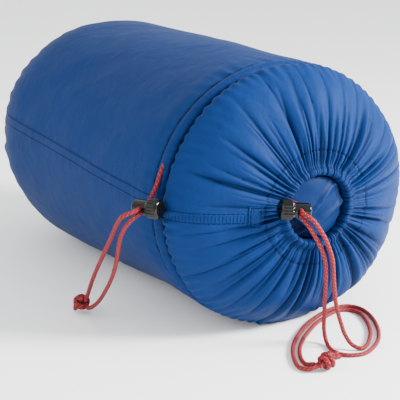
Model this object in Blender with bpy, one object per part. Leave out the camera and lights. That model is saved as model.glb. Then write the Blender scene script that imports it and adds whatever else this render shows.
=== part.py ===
"""Packed rectangular sleeping bag: a rolled bag inside a drawcord stuff sack.

The sack lies on its side with its axis along X and its gathered mouth at +X.
The standing surface is z = 0 and the origin is below the middle of the sack.
"""
import math

import bmesh
import bpy
import numpy as np
from mathutils import Matrix, Vector

# --- sack, metres -----------------------------------------------------------
SACK_LENGTH = 0.371
SACK_RADIUS = 0.100
HEIGHT_RATIO = 0.9475          # the lying sack is this much lower than it is wide
AXIS_HEIGHT = 0.0932
FABRIC = 0.0009                # wall of the drawn fabric shells
GAP = 0.0003                   # clearance left between touching pieces
X_BACK = -SACK_LENGTH / 2
X_FRONT = SACK_LENGTH / 2
BACK_CORNER = 0.090            # radius of the rounded back end
BASE_DEPTH = 0.045             # how far forward the base disc's seam lies
RING_X = 0.1385                # fold between body and collar
GROOVE_RADIUS = 0.0955         # body radius under the middle drawcord
GROOVE_LIFT = 0.0044
CHANNEL_X = 0.1325             # middle drawcord channel
CHANNEL_CORD_RADIUS = 0.0973
CHANNEL_TOP = 0.0999
COLLAR_DEPTH = 0.044
COLLAR_POWER = 1.96            # superellipse exponent of the collar's dome
COLLAR_EDGE = 0.0318
MOUTH_RING = 0.0275            # radius of the mouth drawcord's ring
MOUTH_TUNNEL = 0.0036          # outer radius of the mouth hem's tunnel
MOUTH_X = X_FRONT - MOUTH_TUNNEL
AROUND = 36                    # facets round the sack
CHANNEL_FACETS = 66            # finer, so that the drawcord clears the tunnel

# --- cord and cord locks ----------------------------------------------------
CORD_RADIUS = 0.0015
CORD_STEP = 0.0062
RING_STEP = 0.0088
STRAND_OFFSET = 0.00175        # two strands run side by side in a lock
SLEEVE_RADIUS = 0.0053
SLEEVE_BORE = 0.0046
SLEEVE_BACK = -0.0035          # open end, inside the button's skirt
SLEEVE_END = 0.0125
SLEEVE_FLOOR = 0.0115
BUTTON_RADIUS = 0.0069
BUTTON_RIB = 0.0005
BUTTON_RIBS = 18
BUTTON_LENGTH = 0.0095
BUTTON_BORE = 0.0057
BUTTON_FLOOR = -0.0065
STEM_RADIUS = 0.0043
STEM_END = 0.0072
HOLE_CENTRE = 0.0046           # cross hole's place along the lock
HOLE_LENGTH = 0.0040
HOLE_WIDTH = 0.0074
STEM_SLOT_START = 0.0005
STEM_SLOT_END = 0.0063
STEM_SLOT_WIDTH = 0.0070
SPRING_RADIUS = 0.0031
SPRING_WIRE = 0.00028
SPRING_TURNS = 3.2
LOCK_FACETS = 24

# --- rolled bag -------------------------------------------------------------
ROLL_HALF_WIDTH = 0.0940
ROLL_HALF_HEIGHT = 0.0872
ROLL_START = -math.pi / 2      # the outer end lies under the roll
ROLL_OUTER = 0.0985            # spiral's outer radius, about its own middle
ROLL_TURNS = 3.75
ROLL_FACETS = 12               # per turn
ROLL_PITCH = 0.0215
ROLL_SHIFT = (-0.0053, 0.0053)
SHELL_OFFSET = 0.0098          # half thickness of the folded bag
SHELL_SKIN = 0.0010
FILL_OFFSET = 0.0085
FILL_SKIN = 0.0062
LINING_OFFSET = 0.0020
LINING_SKIN = 0.0010
ROLL_STATIONS = ((-0.1550, 0.820), (-0.1180, 1.000), (0.1480, 0.960))
ZIP_X = ROLL_STATIONS[-1][0] + GAP
ZIP_START = 0.16               # turns along the roll
ZIP_END = 3.62
TAPE_OVERRUN = 0.10            # tape beyond the slider, in turns
TAPE_THICKNESS = 0.0008
TAPE_HALF_WIDTH = 0.0070
CHAIN_THICKNESS = 0.0018
CHAIN_HALF_WIDTH = 0.0026
CHAIN_INSET = (0.030, 0.075)   # chain shorter than the tape at its ends, in turns
SLIDER_SIZE = (0.0100, 0.0090, 0.0034)
PULL_SIZE = (0.0170, 0.0060, 0.0010)
TAB_SIZE = (0.0200, 0.0180, 0.0020)
TAB_TURN = 0.085
LOOP_TURNS = (1.12, 1.62)      # where the hanging loops are sewn
LOOP_HALF_WIDTH = 0.0040
LOOP_DEPTH = 0.0080

# --- drawcord routes, hand-chosen, metres ----------------------------------
MID_LOCK_HOLE = Vector((0.1385, -0.1111, 0.0997))
MID_LOCK_AXIS = Vector((-0.934, -0.352, -0.060)).normalized()
MID_LOCK_OUT = Vector((0.356, -0.904, -0.237)).normalized()
MOUTH_LOCK_HOLE = Vector((0.1973, -0.0264, 0.0992))
MOUTH_LOCK_AXIS = Vector((0.285, 0.950, -0.124)).normalized()
MOUTH_LOCK_OUT = Vector((0.937, -0.303, -0.173)).normalized()

MID_LEAD_A = ((0.1327, -0.0905, 0.1283), (0.1345, -0.0955, 0.1215), (0.1360, -0.1000, 0.1130))
MID_TAIL_A = ((0.1375, -0.1270, 0.0955), (0.1320, -0.1280, 0.0895), (0.1205, -0.1275, 0.0750),
              (0.1065, -0.1265, 0.0590), (0.0920, -0.1250, 0.0425), (0.0795, -0.1225, 0.0290),
              (0.0690, -0.1200, 0.0175), (0.0640, -0.1190, 0.0120))
MID_LEAD_B = ((0.1327, -0.0982, 0.0885), (0.1335, -0.0998, 0.0935))
MID_TAIL_B = ((0.1405, -0.1235, 0.0920), (0.1350, -0.1245, 0.0860), (0.1290, -0.1245, 0.0775),
              (0.1225, -0.1235, 0.0625), (0.1130, -0.1220, 0.0470), (0.1000, -0.1200, 0.0330),
              (0.0830, -0.1185, 0.0170), (0.0710, -0.1185, 0.0090), (0.0655, -0.1185, 0.0070))
MID_KNOT = Vector((0.0578, -0.1190, 0.0068))

MOUTH_LEAD_A = ((0.1822, -0.0268, 0.0885), (0.1845, -0.0262, 0.0940))
MOUTH_TAIL_A = ((0.2105, -0.0280, 0.0920), (0.2120, -0.0240, 0.0850), (0.2130, -0.0195, 0.0765),
                (0.2125, -0.0150, 0.0655), (0.2100, -0.0122, 0.0505), (0.2065, -0.0100, 0.0375),
                (0.2020, -0.0065, 0.0240), (0.1980, -0.0035, 0.0105), (0.1995, -0.0030, 0.0037),
                (0.2070, -0.0062, 0.0016), (0.2175, -0.0090, 0.0016), (0.2255, -0.0062, 0.0016),
                (0.2295, 0.0005, 0.0016), (0.2300, 0.0080, 0.0016), (0.2250, 0.0185, 0.0016),
                (0.2160, 0.0300, 0.0016), (0.2030, 0.0410, 0.0016), (0.1865, 0.0510, 0.0016),
                (0.1705, 0.0575, 0.0016), (0.1585, 0.0590, 0.0016), (0.1505, 0.0548, 0.0016),
                (0.1485, 0.0462, 0.0016), (0.1510, 0.0340, 0.0016), (0.1590, 0.0170, 0.0016),
                (0.1700, 0.0000, 0.0016), (0.1840, -0.0170, 0.0016), (0.1990, -0.0305, 0.0016),
                (0.2140, -0.0400, 0.0016), (0.2265, -0.0450, 0.0016), (0.2345, -0.0430, 0.0025),
                (0.2375, -0.0375, 0.0045))
MOUTH_LEAD_B = ((0.1826, -0.0255, 0.1045), (0.1850, -0.0254, 0.1025))
MOUTH_TAIL_B = ((0.2125, -0.0262, 0.0962), (0.2150, -0.0215, 0.0890), (0.2160, -0.0165, 0.0795),
                (0.2155, -0.0115, 0.0675), (0.2130, -0.0080, 0.0520), (0.2110, -0.0052, 0.0410),
                (0.2095, -0.0020, 0.0300), (0.2105, 0.0010, 0.0190), (0.2135, 0.0030, 0.0100),
                (0.2185, 0.0055, 0.0040), (0.2225, 0.0102, 0.0018), (0.2195, 0.0170, 0.0016),
                (0.2100, 0.0275, 0.0016), (0.1975, 0.0378, 0.0016), (0.1815, 0.0472, 0.0016),
                (0.1665, 0.0525, 0.0016), (0.1580, 0.0508, 0.0016), (0.1545, 0.0440, 0.0016),
                (0.1570, 0.0335, 0.0016), (0.1650, 0.0170, 0.0016), (0.1760, 0.0008, 0.0016),
                (0.1890, -0.0150, 0.0016), (0.2020, -0.0268, 0.0016), (0.2150, -0.0350, 0.0016),
                (0.2245, -0.0380, 0.0016), (0.2305, -0.0345, 0.0030))
MOUTH_KNOT = Vector((0.2370, -0.0300, 0.0066))


def clear_scene():
    for item in list(bpy.data.objects):
        bpy.data.objects.remove(item, do_unlink=True)


def make_material(name, color, roughness, metallic=0.0):
    material = bpy.data.materials.new(name)
    material.use_nodes = True
    shader = material.node_tree.nodes["Principled BSDF"]
    shader.inputs["Base Color"].default_value = (*color, 1.0)
    shader.inputs["Roughness"].default_value = roughness
    shader.inputs["Metallic"].default_value = metallic
    material.diffuse_color = (*color, 1.0)
    return material


def blue_fabric(name):
    return make_material(name, (0.020, 0.060, 0.240), 0.6)


def red_cord(name):
    return make_material(name, (0.50, 0.07, 0.08), 0.75)


def black_plastic(name):
    return make_material(name, (0.010, 0.010, 0.011), 0.25)


def add_object(name, bm, material, smooth_angle=35.0):
    """Turn a bmesh into a named object with outward faces."""
    bmesh.ops.recalc_face_normals(bm, faces=bm.faces)
    mesh = bpy.data.meshes.new(name)
    bm.to_mesh(mesh)
    bm.free()
    mesh.shade_smooth()
    mesh.set_sharp_from_angle(angle=math.radians(smooth_angle))
    mesh.materials.append(material)
    item = bpy.data.objects.new(name, mesh)
    bpy.context.collection.objects.link(item)
    return item


# --- solids of the lying sack ----------------------------------------------
def sack_point(x, radius, angle, lift=0.0):
    """A point at a radius round the sack's axis, kept above a height."""
    y = radius * math.cos(angle)
    z = AXIS_HEIGHT + HEIGHT_RATIO * radius * math.sin(angle)
    return Vector((x, y, max(z, lift)))


def offset_profile(profile, distance):
    """Move a line of (x, radius, lift) inwards by a wall's thickness."""
    points = [Vector(entry[:2]) for entry in profile]
    moved = []
    for index, point in enumerate(points):
        before = points[max(index - 1, 0)]
        after = points[min(index + 1, len(points) - 1)]
        along = (after - before).normalized()
        inward = Vector((along.y, -along.x))
        place = point + inward * distance
        moved.append((place.x, place.y, profile[index][2] + distance))
    return moved


def sweep_section(section, start=0.0, end=None, facets=AROUND):
    """Sweep a closed (x, radius, lift) section round the sack's axis."""
    full = end is None
    span = 2 * math.pi if full else end - start
    count = facets if full else facets + 1
    bm = bmesh.new()
    rings = []
    for step in range(count):
        angle = start + span * step / facets
        rings.append([bm.verts.new(sack_point(x, r, angle, lift)) for x, r, lift in section])
    pairs = zip(rings, rings[1:] + rings[:1]) if full else zip(rings, rings[1:])
    size = len(section)
    for ring, following in pairs:
        for index in range(size):
            other = (index + 1) % size
            bm.faces.new((ring[index], ring[other], following[other], following[index]))
    if not full:
        bm.faces.new(rings[0])
        bm.faces.new(list(reversed(rings[-1])))
    return bm


def back_radius(depth):
    """Radius of the rounded back end at a depth from the back."""
    reach = BACK_CORNER - min(depth, BACK_CORNER)
    return SACK_RADIUS - BACK_CORNER + math.sqrt(BACK_CORNER ** 2 - reach ** 2)


def collar_profile():
    """The collar: out of the fold, over its shoulder and in to the mouth."""
    profile = [(RING_X + GAP, 0.0962, 0.0040), (RING_X + 0.0017, 0.0986, 0.0012),
               (RING_X + 0.0055, SACK_RADIUS, 0.0)]
    steps = 8
    for step in range(2, steps + 1):
        turn = math.pi / 2 * step / steps
        along = math.sin(turn) ** (2 / COLLAR_POWER)
        across = max(math.cos(turn), 0.0) ** (2 / COLLAR_POWER)
        radius = COLLAR_EDGE + (SACK_RADIUS - COLLAR_EDGE) * across
        profile.append((RING_X + COLLAR_DEPTH * along, radius, 0.0))
    return profile


def shell_section(profile):
    return profile + list(reversed(offset_profile(profile, FABRIC)))


def make_sack_body():
    profile = []
    for depth in (BASE_DEPTH + GAP, 0.055, 0.068, BACK_CORNER):
        profile.append((X_BACK + depth, back_radius(depth), 0.0))
    profile.append((0.0, SACK_RADIUS, 0.0))
    profile.append((CHANNEL_X - 0.0170, SACK_RADIUS, 0.0))
    profile.append((CHANNEL_X - 0.0100, 0.0985, 0.0015))
    profile.append((CHANNEL_X - 0.0062, GROOVE_RADIUS, GROOVE_LIFT))
    profile.append((RING_X, GROOVE_RADIUS, GROOVE_LIFT))
    bm = sweep_section(shell_section(profile))
    add_object("sack_body", bm, blue_fabric("body_fabric"))


def make_sack_base():
    """The base disc, bulged by the packed bag."""
    depths = (BASE_DEPTH - GAP, 0.032, 0.019, 0.008, 0.0)
    outer = [(X_BACK + depth, back_radius(depth), 0.0) for depth in depths]
    inner = [(x + FABRIC, r - FABRIC * 0.8, lift) for x, r, lift in outer]
    bm = bmesh.new()
    skins = []
    for profile in (outer, inner):
        rings = []
        for x, radius, lift in profile:
            angles = [2 * math.pi * step / AROUND for step in range(AROUND)]
            rings.append([bm.verts.new(sack_point(x, radius, a, lift)) for a in angles])
        pole = bm.verts.new(sack_point(profile[-1][0], 0.0, 0.0))
        skins.append((rings, pole))
    for rings, pole in skins:
        for ring, following in zip(rings, rings[1:]):
            join_rings(bm, ring, following)
        for step in range(AROUND):
            bm.faces.new((rings[-1][step], rings[-1][(step + 1) % AROUND], pole))
    join_rings(bm, skins[0][0][0], skins[1][0][0])
    add_object("sack_base", bm, blue_fabric("base_fabric"))


def join_rings(bm, ring, following):
    size = len(ring)
    for step in range(size):
        other = (step + 1) % size
        bm.faces.new((ring[step], ring[other], following[other], following[step]))


def make_sack_collar():
    bm = sweep_section(shell_section(collar_profile()))
    add_object("sack_collar", bm, blue_fabric("collar_fabric"))


def make_mid_channel():
    """Tunnel of folded fabric that holds the middle drawcord, open at the lock."""
    half = 0.0055
    foot = GROOVE_RADIUS + GAP
    foot_lift = GROOVE_LIFT - GAP
    wall = 0.0008
    section = [(CHANNEL_X - half, foot, foot_lift),
               (CHANNEL_X - half + 0.0022, CHANNEL_TOP, 0.0),
               (CHANNEL_X + half - 0.0022, CHANNEL_TOP, 0.0),
               (CHANNEL_X + half, foot, foot_lift),
               (CHANNEL_X + half - 0.0011, foot, foot_lift),
               (CHANNEL_X + half - 0.0030, CHANNEL_TOP - wall, wall),
               (CHANNEL_X - half + 0.0030, CHANNEL_TOP - wall, wall),
               (CHANNEL_X - half + 0.0011, foot, foot_lift)]
    bm = sweep_section(section, math.radians(-174), math.radians(156), CHANNEL_FACETS)
    add_object("mid_channel", bm, blue_fabric("channel_fabric"))


def make_mouth_channel():
    """Gathered hem tunnel round the mouth, open at the back and at the lock."""
    wall = 0.0012
    opening = math.radians(145)
    steps = 8
    turns = [-opening + 2 * opening * step / steps for step in range(steps + 1)]
    section = []
    for turn in turns:
        section.append((MOUTH_X + MOUTH_TUNNEL * math.cos(turn),
                        MOUTH_RING + MOUTH_TUNNEL * math.sin(turn), 0.0))
    for turn in reversed(turns):
        bore = MOUTH_TUNNEL - wall
        section.append((MOUTH_X + bore * math.cos(turn), MOUTH_RING + bore * math.sin(turn), 0.0))
    bm = sweep_section(section, math.radians(-156), math.radians(148), 22)
    add_object("mouth_channel", bm, blue_fabric("mouth_fabric"))


def make_dust_flap():
    """Round flap inside the mouth that covers the packed bag."""
    thickness = 0.0012
    facets = 24
    profile = ((0.0450, 0.1690), (0.0360, 0.1728), (0.0250, 0.1765), (0.0120, 0.1788))
    crown = 0.1795
    bm = bmesh.new()
    skins = []
    for shift in (0.0, thickness):
        rings = []
        for radius, x in profile:
            angles = [2 * math.pi * step / facets for step in range(facets)]
            rings.append([bm.verts.new(sack_point(x + shift, radius, a)) for a in angles])
        pole = bm.verts.new(sack_point(crown + shift, 0.0, 0.0))
        skins.append((rings, pole))
    for rings, pole in skins:
        for ring, following in zip(rings, rings[1:]):
            join_rings(bm, ring, following)
        for step in range(facets):
            bm.faces.new((rings[-1][step], rings[-1][(step + 1) % facets], pole))
    join_rings(bm, skins[0][0][0], skins[1][0][0])
    add_object("dust_flap", bm, blue_fabric("flap_fabric"))


def make_mouth_patch():
    """Sewn box of fabric that backs the seam beside the mouth."""
    thickness = 0.0008
    half_angle = math.radians(6.0)
    middle = math.radians(180)
    profile = collar_profile()
    rows = []
    for low, high, share in ((6, 7, 0.30), (6, 7, 0.90), (7, 8, 0.45)):
        first = Vector(profile[low][:2])
        second = Vector(profile[high][:2])
        rows.append(first.lerp(second, share))
    outer = [(p.x + 0.0009 + thickness, p.y + 0.0004, 0.0) for p in rows]
    inner = [(p.x + 0.0009, p.y + 0.0004, 0.0) for p in rows]
    section = outer + list(reversed(inner))
    bm = sweep_section(section, middle - half_angle, middle + half_angle, 4)
    add_object("mouth_patch", bm, blue_fabric("patch_fabric"))


# --- cords ------------------------------------------------------------------
def smooth_curve(points, samples=16):
    """Centripetal Catmull-Rom curve through the route's points."""
    route = [np.array(point, dtype=float) for point in points]
    route = [2 * route[0] - route[1]] + route + [2 * route[-1] - route[-2]]
    curve = []
    for a, b, c, d in zip(route, route[1:], route[2:], route[3:]):
        knots = [0.0]
        for first, second in ((a, b), (b, c), (c, d)):
            knots.append(knots[-1] + math.sqrt(np.linalg.norm(second - first)))
        t0, t1, t2, t3 = knots
        for t in np.linspace(t1, t2, samples, endpoint=False):
            a1 = (t1 - t) / (t1 - t0) * a + (t - t0) / (t1 - t0) * b
            a2 = (t2 - t) / (t2 - t1) * b + (t - t1) / (t2 - t1) * c
            a3 = (t3 - t) / (t3 - t2) * c + (t - t2) / (t3 - t2) * d
            b1 = (t2 - t) / (t2 - t0) * a1 + (t - t0) / (t2 - t0) * a2
            b2 = (t3 - t) / (t3 - t1) * a2 + (t - t1) / (t3 - t1) * a3
            curve.append((t2 - t) / (t2 - t1) * b1 + (t - t1) / (t2 - t1) * b2)
    curve.append(route[-2])
    return np.array(curve)


def even_points(curve, step):
    """Points at an even distance along a curve."""
    lengths = np.concatenate([[0.0], np.cumsum(np.linalg.norm(np.diff(curve, axis=0), axis=1))])
    count = max(2, round(lengths[-1] / step) + 1)
    places = np.linspace(0.0, lengths[-1], count)
    return np.stack([np.interp(places, lengths, curve[:, axis]) for axis in range(3)], axis=1)


def make_tube(name, points, radius, material):
    """A cord: a curve with a round bevel and filled caps."""
    data = bpy.data.curves.new(name, "CURVE")
    data.dimensions = "3D"
    data.bevel_depth = radius
    data.bevel_resolution = 2
    data.use_fill_caps = True
    spline = data.splines.new("POLY")
    spline.points.add(len(points) - 1)
    for place, point in zip(spline.points, points):
        place.co = (*point, 1.0)
    data.materials.append(material)
    item = bpy.data.objects.new(name, data)
    bpy.context.collection.objects.link(item)
    return item


def strand_route(start, lead, hole, out, side, tail):
    """Channel end, lead, straight through the lock, then the free tail."""
    straight = [hole + side + out * reach for reach in (-0.0058, -0.0020, 0.0035, 0.0090)]
    return [start, *lead, *straight, *tail]


def make_tail(name, route):
    points = even_points(smooth_curve(route), CORD_STEP)
    make_tube(name, points, CORD_RADIUS, red_cord(name + "_braid"))


def ring_points(x, radius, start, end, lift, step):
    """Points of a drawcord lying in its channel round the sack."""
    angles = np.linspace(start, end, 400)
    curve = np.array([sack_point(x, radius, angle, lift) for angle in angles])
    return even_points(curve, step)


def make_mid_cord():
    start = math.radians(-172)
    end = math.radians(154)
    lift = 0.0026
    points = ring_points(CHANNEL_X, CHANNEL_CORD_RADIUS, start, end, lift, RING_STEP)
    make_tube("mid_drawcord", points, CORD_RADIUS, red_cord("mid_braid"))
    across = MID_LOCK_AXIS.cross(MID_LOCK_OUT) * STRAND_OFFSET
    slack = math.radians(0.2)
    above = sack_point(CHANNEL_X, CHANNEL_CORD_RADIUS, end + slack)
    below = sack_point(CHANNEL_X, CHANNEL_CORD_RADIUS, start - slack)
    upper = strand_route(above, MID_LEAD_A, MID_LOCK_HOLE, MID_LOCK_OUT, across, MID_TAIL_A)
    lower = strand_route(below, MID_LEAD_B, MID_LOCK_HOLE, MID_LOCK_OUT, -across, MID_TAIL_B)
    make_tail("mid_tail_a", upper)
    make_tail("mid_tail_b", lower)


def make_mouth_cord():
    start = math.radians(-155)
    end = math.radians(147)
    points = ring_points(MOUTH_X, MOUTH_RING, start, end, 0.0, CORD_STEP)
    make_tube("mouth_drawcord", points, CORD_RADIUS, red_cord("mouth_braid"))
    across = MOUTH_LOCK_AXIS.cross(MOUTH_LOCK_OUT) * STRAND_OFFSET
    slack = math.radians(1.8)
    above = sack_point(MOUTH_X, MOUTH_RING, end + slack)
    below = sack_point(MOUTH_X, MOUTH_RING, start - slack)
    lower = strand_route(below, MOUTH_LEAD_A, MOUTH_LOCK_HOLE, MOUTH_LOCK_OUT, across, MOUTH_TAIL_A)
    upper = strand_route(above, MOUTH_LEAD_B, MOUTH_LOCK_HOLE, MOUTH_LOCK_OUT, -across, MOUTH_TAIL_B)
    make_tail("mouth_tail_a", lower)
    make_tail("mouth_tail_b", upper)


def make_knot(name, centre, half_sizes):
    """Overhand knot's plain outer shape."""
    bm = bmesh.new()
    bmesh.ops.create_icosphere(bm, subdivisions=2, radius=1.0)
    bmesh.ops.scale(bm, vec=half_sizes, verts=bm.verts)
    bmesh.ops.translate(bm, vec=centre, verts=bm.verts)
    add_object(name, bm, red_cord(name + "_braid"), 180.0)


# --- cord locks -------------------------------------------------------------
def lathe(profile, facets=LOCK_FACETS):
    """Turn a closed or axis-to-axis (radius, height) line round local Z."""
    bm = bmesh.new()
    rings = []
    for radius, height in profile:
        if radius == 0.0:
            rings.append([bm.verts.new((0.0, 0.0, height))])
            continue
        ring = []
        for step in range(facets):
            angle = 2 * math.pi * step / facets
            ring.append(bm.verts.new((radius * math.cos(angle), radius * math.sin(angle), height)))
        rings.append(ring)
    for ring, following in zip(rings, rings[1:]):
        if len(ring) == 1:
            for step in range(facets):
                bm.faces.new((ring[0], following[step], following[(step + 1) % facets]))
        elif len(following) == 1:
            for step in range(facets):
                bm.faces.new((ring[(step + 1) % facets], ring[step], following[0]))
        else:
            join_rings(bm, ring, following)
    return bm


def lock_matrix(hole, axis, out):
    """Local Z along the lock, local Y along the cross hole, origin at the joint line."""
    across = axis.cross(out)
    rotation = Matrix((-across, out, axis)).transposed().to_4x4()
    return Matrix.Translation(hole - axis * HOLE_CENTRE) @ rotation


def slot_cutter(name, width, low, high):
    """A flat-ended slot right through a lock along local Y."""
    bm = bmesh.new()
    depth = 0.020
    bmesh.ops.create_cube(bm, size=1.0)
    bmesh.ops.scale(bm, vec=(width, depth, high - low), verts=bm.verts)
    bmesh.ops.translate(bm, vec=(0.0, 0.0, (low + high) / 2), verts=bm.verts)
    corners = [edge for edge in bm.edges if abs(edge.verts[0].co.y - edge.verts[1].co.y) > depth / 2]
    bmesh.ops.bevel(bm, geom=corners, offset=0.0012, segments=3, affect="EDGES", profile=0.5)
    cutter = add_object(name, bm, black_plastic(name))
    cutter.hide_render = True
    cutter.display_type = "WIRE"
    return cutter


def apply_boolean(item, other, operation):
    """Apply one exact boolean and remove the tool object."""
    modifier = item.modifiers.new("shape", "BOOLEAN")
    modifier.operation = operation
    modifier.solver = "EXACT"
    modifier.object = other
    graph = bpy.context.evaluated_depsgraph_get()
    mesh = bpy.data.meshes.new_from_object(item.evaluated_get(graph))
    item.modifiers.clear()
    item.data = mesh
    bpy.data.objects.remove(other, do_unlink=True)


def make_sleeve(name, place):
    """The lock's body: a blind tube with a cross hole for both strands."""
    round_off = 0.0009
    profile = [(SLEEVE_BORE, SLEEVE_FLOOR), (SLEEVE_BORE, SLEEVE_BACK),
               (SLEEVE_RADIUS, SLEEVE_BACK), (SLEEVE_RADIUS, SLEEVE_END - round_off),
               (SLEEVE_RADIUS - round_off * 0.3, SLEEVE_END - round_off * 0.3),
               (SLEEVE_RADIUS - round_off, SLEEVE_END), (0.0, SLEEVE_END)]
    bm = lathe([(0.0, SLEEVE_FLOOR), *profile])
    item = add_object(name, bm, black_plastic(name + "_plastic"))
    half = HOLE_LENGTH / 2
    cutter = slot_cutter("sleeve_slot", HOLE_WIDTH, HOLE_CENTRE - half, HOLE_CENTRE + half)
    apply_boolean(item, cutter, "DIFFERENCE")
    item.matrix_world = place


def ribbed_cup():
    """Outer shape of the push button, ribbed for grip."""
    bm = bmesh.new()
    per_rib = 4
    count = BUTTON_RIBS * per_rib
    core = BUTTON_RADIUS - BUTTON_RIB
    levels = ((core - 0.0004, 0.0, 0.0), (core, -0.0007, BUTTON_RIB),
              (core, -BUTTON_LENGTH + 0.0018, BUTTON_RIB), (core - 0.0017, -BUTTON_LENGTH, 0.0))
    rings = []
    for base, height, rib in levels:
        ring = []
        for step in range(count):
            radius = base + (rib if step % per_rib in (1, 2) else 0.0)
            angle = 2 * math.pi * step / count
            ring.append(bm.verts.new((radius * math.cos(angle), radius * math.sin(angle), height)))
        rings.append(ring)
    for ring, following in zip(rings, rings[1:]):
        join_rings(bm, ring, following)
    bm.faces.new(rings[0])
    bm.faces.new(list(reversed(rings[-1])))
    return bm


def make_button(name, place):
    """Push button: a ribbed cup whose slotted stem slides in the sleeve."""
    item = add_object(name, ribbed_cup(), black_plastic(name + "_plastic"))
    hollow = lathe([(0.0, 0.001), (BUTTON_BORE, 0.001), (BUTTON_BORE, BUTTON_FLOOR), (0.0, BUTTON_FLOOR)])
    apply_boolean(item, add_object("hollow", hollow, black_plastic("hollow")), "DIFFERENCE")
    chamfer = 0.0005
    stem = lathe([(0.0, BUTTON_FLOOR - 0.001), (STEM_RADIUS, BUTTON_FLOOR - 0.001),
                  (STEM_RADIUS, STEM_END - chamfer), (STEM_RADIUS - chamfer, STEM_END), (0.0, STEM_END)])
    rod = add_object("rod", stem, black_plastic("rod"))
    cutter = slot_cutter("stem_slot", STEM_SLOT_WIDTH, STEM_SLOT_START, STEM_SLOT_END)
    apply_boolean(rod, cutter, "DIFFERENCE")
    apply_boolean(item, rod, "UNION")
    item.matrix_world = place


def make_spring(name, place):
    """Compression spring between the stem and the sleeve's floor."""
    facets = 12
    low = STEM_END + SPRING_WIRE + GAP
    high = SLEEVE_FLOOR - SPRING_WIRE - GAP
    count = round(SPRING_TURNS * facets)
    points = []
    for step in range(count + 1):
        share = step / count
        angle = 2 * math.pi * SPRING_TURNS * share
        local = Vector((SPRING_RADIUS * math.cos(angle), SPRING_RADIUS * math.sin(angle),
                        low + (high - low) * share))
        points.append(place @ local)
    item = make_tube(name, points, SPRING_WIRE, make_material(name + "_steel", (0.6, 0.6, 0.6), 0.3, 1.0))
    item.data.bevel_resolution = 1


def make_lock(prefix, hole, axis, out):
    place = lock_matrix(hole, axis, out)
    make_sleeve(prefix + "_lock_sleeve", place)
    make_button(prefix + "_lock_button", place)
    make_spring(prefix + "_lock_spring", place)


# --- the rolled bag ---------------------------------------------------------
def roll_point(x, scale, radius, angle):
    """A point of the roll, squashed as the sack is."""
    ratio = ROLL_HALF_HEIGHT / ROLL_HALF_WIDTH
    turned = angle + ROLL_START
    y = scale * (radius * math.cos(turned) + ROLL_SHIFT[0])
    z = AXIS_HEIGHT + scale * ratio * (radius * math.sin(turned) + ROLL_SHIFT[1])
    return Vector((x, y, z))


def spiral_radius(angle):
    """Middle of the folded bag's thickness, angle 0 at the outer end."""
    return ROLL_OUTER - SHELL_OFFSET - ROLL_PITCH * angle / (2 * math.pi)


def hairpin(offset):
    """(radius, angle) places along one skin: in, round the fold and back out."""
    count = round(ROLL_TURNS * ROLL_FACETS)
    total = 2 * math.pi * ROLL_TURNS
    angles = [total * step / count for step in range(count + 1)]
    outer = [(spiral_radius(angle) + offset, angle) for angle in angles]
    inner = [(spiral_radius(angle) - offset, angle) for angle in angles]
    centre = spiral_radius(total)
    fold = [(centre, total + offset * 0.9 / centre)]
    return outer + fold + list(reversed(inner))


def make_layer(name, offset, thickness, material):
    """One layer of the folded bag as a spiral hairpin, extruded along X."""
    near = hairpin(offset)
    far = hairpin(offset - thickness)
    bm = bmesh.new()
    loops = []
    for x, scale in ROLL_STATIONS:
        first = [bm.verts.new(roll_point(x, scale, r, a)) for r, a in near]
        second = [bm.verts.new(roll_point(x, scale, r, a)) for r, a in far]
        loops.append((first, second))
    size = len(near)
    for (first, second), (third, fourth) in zip(loops, loops[1:]):
        for index in range(size - 1):
            bm.faces.new((first[index], first[index + 1], third[index + 1], third[index]))
            bm.faces.new((second[index], second[index + 1], fourth[index + 1], fourth[index]))
        for index in (0, size - 1):
            bm.faces.new((first[index], second[index], fourth[index], third[index]))
    for first, second in (loops[0], loops[-1]):
        for index in range(size - 1):
            bm.faces.new((first[index], first[index + 1], second[index + 1], second[index]))
    add_object(name, bm, material)


def make_roll():
    make_layer("bag_shell", SHELL_OFFSET, SHELL_SKIN, blue_fabric("shell_fabric"))
    make_layer("bag_insulation", FILL_OFFSET, FILL_SKIN,
               make_material("insulation_fleece", (0.85, 0.85, 0.83), 0.95))
    make_layer("bag_lining", LINING_OFFSET, LINING_SKIN,
               make_material("lining_fabric", (0.10, 0.11, 0.13), 0.8))


def spiral_band(name, x_low, x_high, half_width, start_turn, end_turn, material):
    """A flat band along the roll's edge, such as a zip tape."""
    count = round((end_turn - start_turn) * ROLL_FACETS)
    scale = ROLL_STATIONS[-1][1]
    bm = bmesh.new()
    rows = []
    for step in range(count + 1):
        angle = 2 * math.pi * (start_turn + (end_turn - start_turn) * step / count)
        middle = spiral_radius(angle)
        corners = ((x_low, middle - half_width), (x_high, middle - half_width),
                   (x_high, middle + half_width), (x_low, middle + half_width))
        rows.append([bm.verts.new(roll_point(x, scale, r, angle)) for x, r in corners])
    for row, following in zip(rows, rows[1:]):
        join_rings(bm, row, following)
    bm.faces.new(rows[0])
    bm.faces.new(list(reversed(rows[-1])))
    add_object(name, bm, material)


def edge_matrix(turn, x):
    """A place on the roll's edge: local Z is +X, local X follows the zip."""
    angle = 2 * math.pi * turn
    step = 0.01
    scale = ROLL_STATIONS[-1][1]
    here = roll_point(x, scale, spiral_radius(angle), angle)
    ahead = roll_point(x, scale, spiral_radius(angle + step), angle + step)
    along = (ahead - here).normalized()
    up = Vector((1.0, 0.0, 0.0))
    across = up.cross(along)
    rotation = Matrix((along, across, up)).transposed().to_4x4()
    return Matrix.Translation(here) @ rotation


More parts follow.
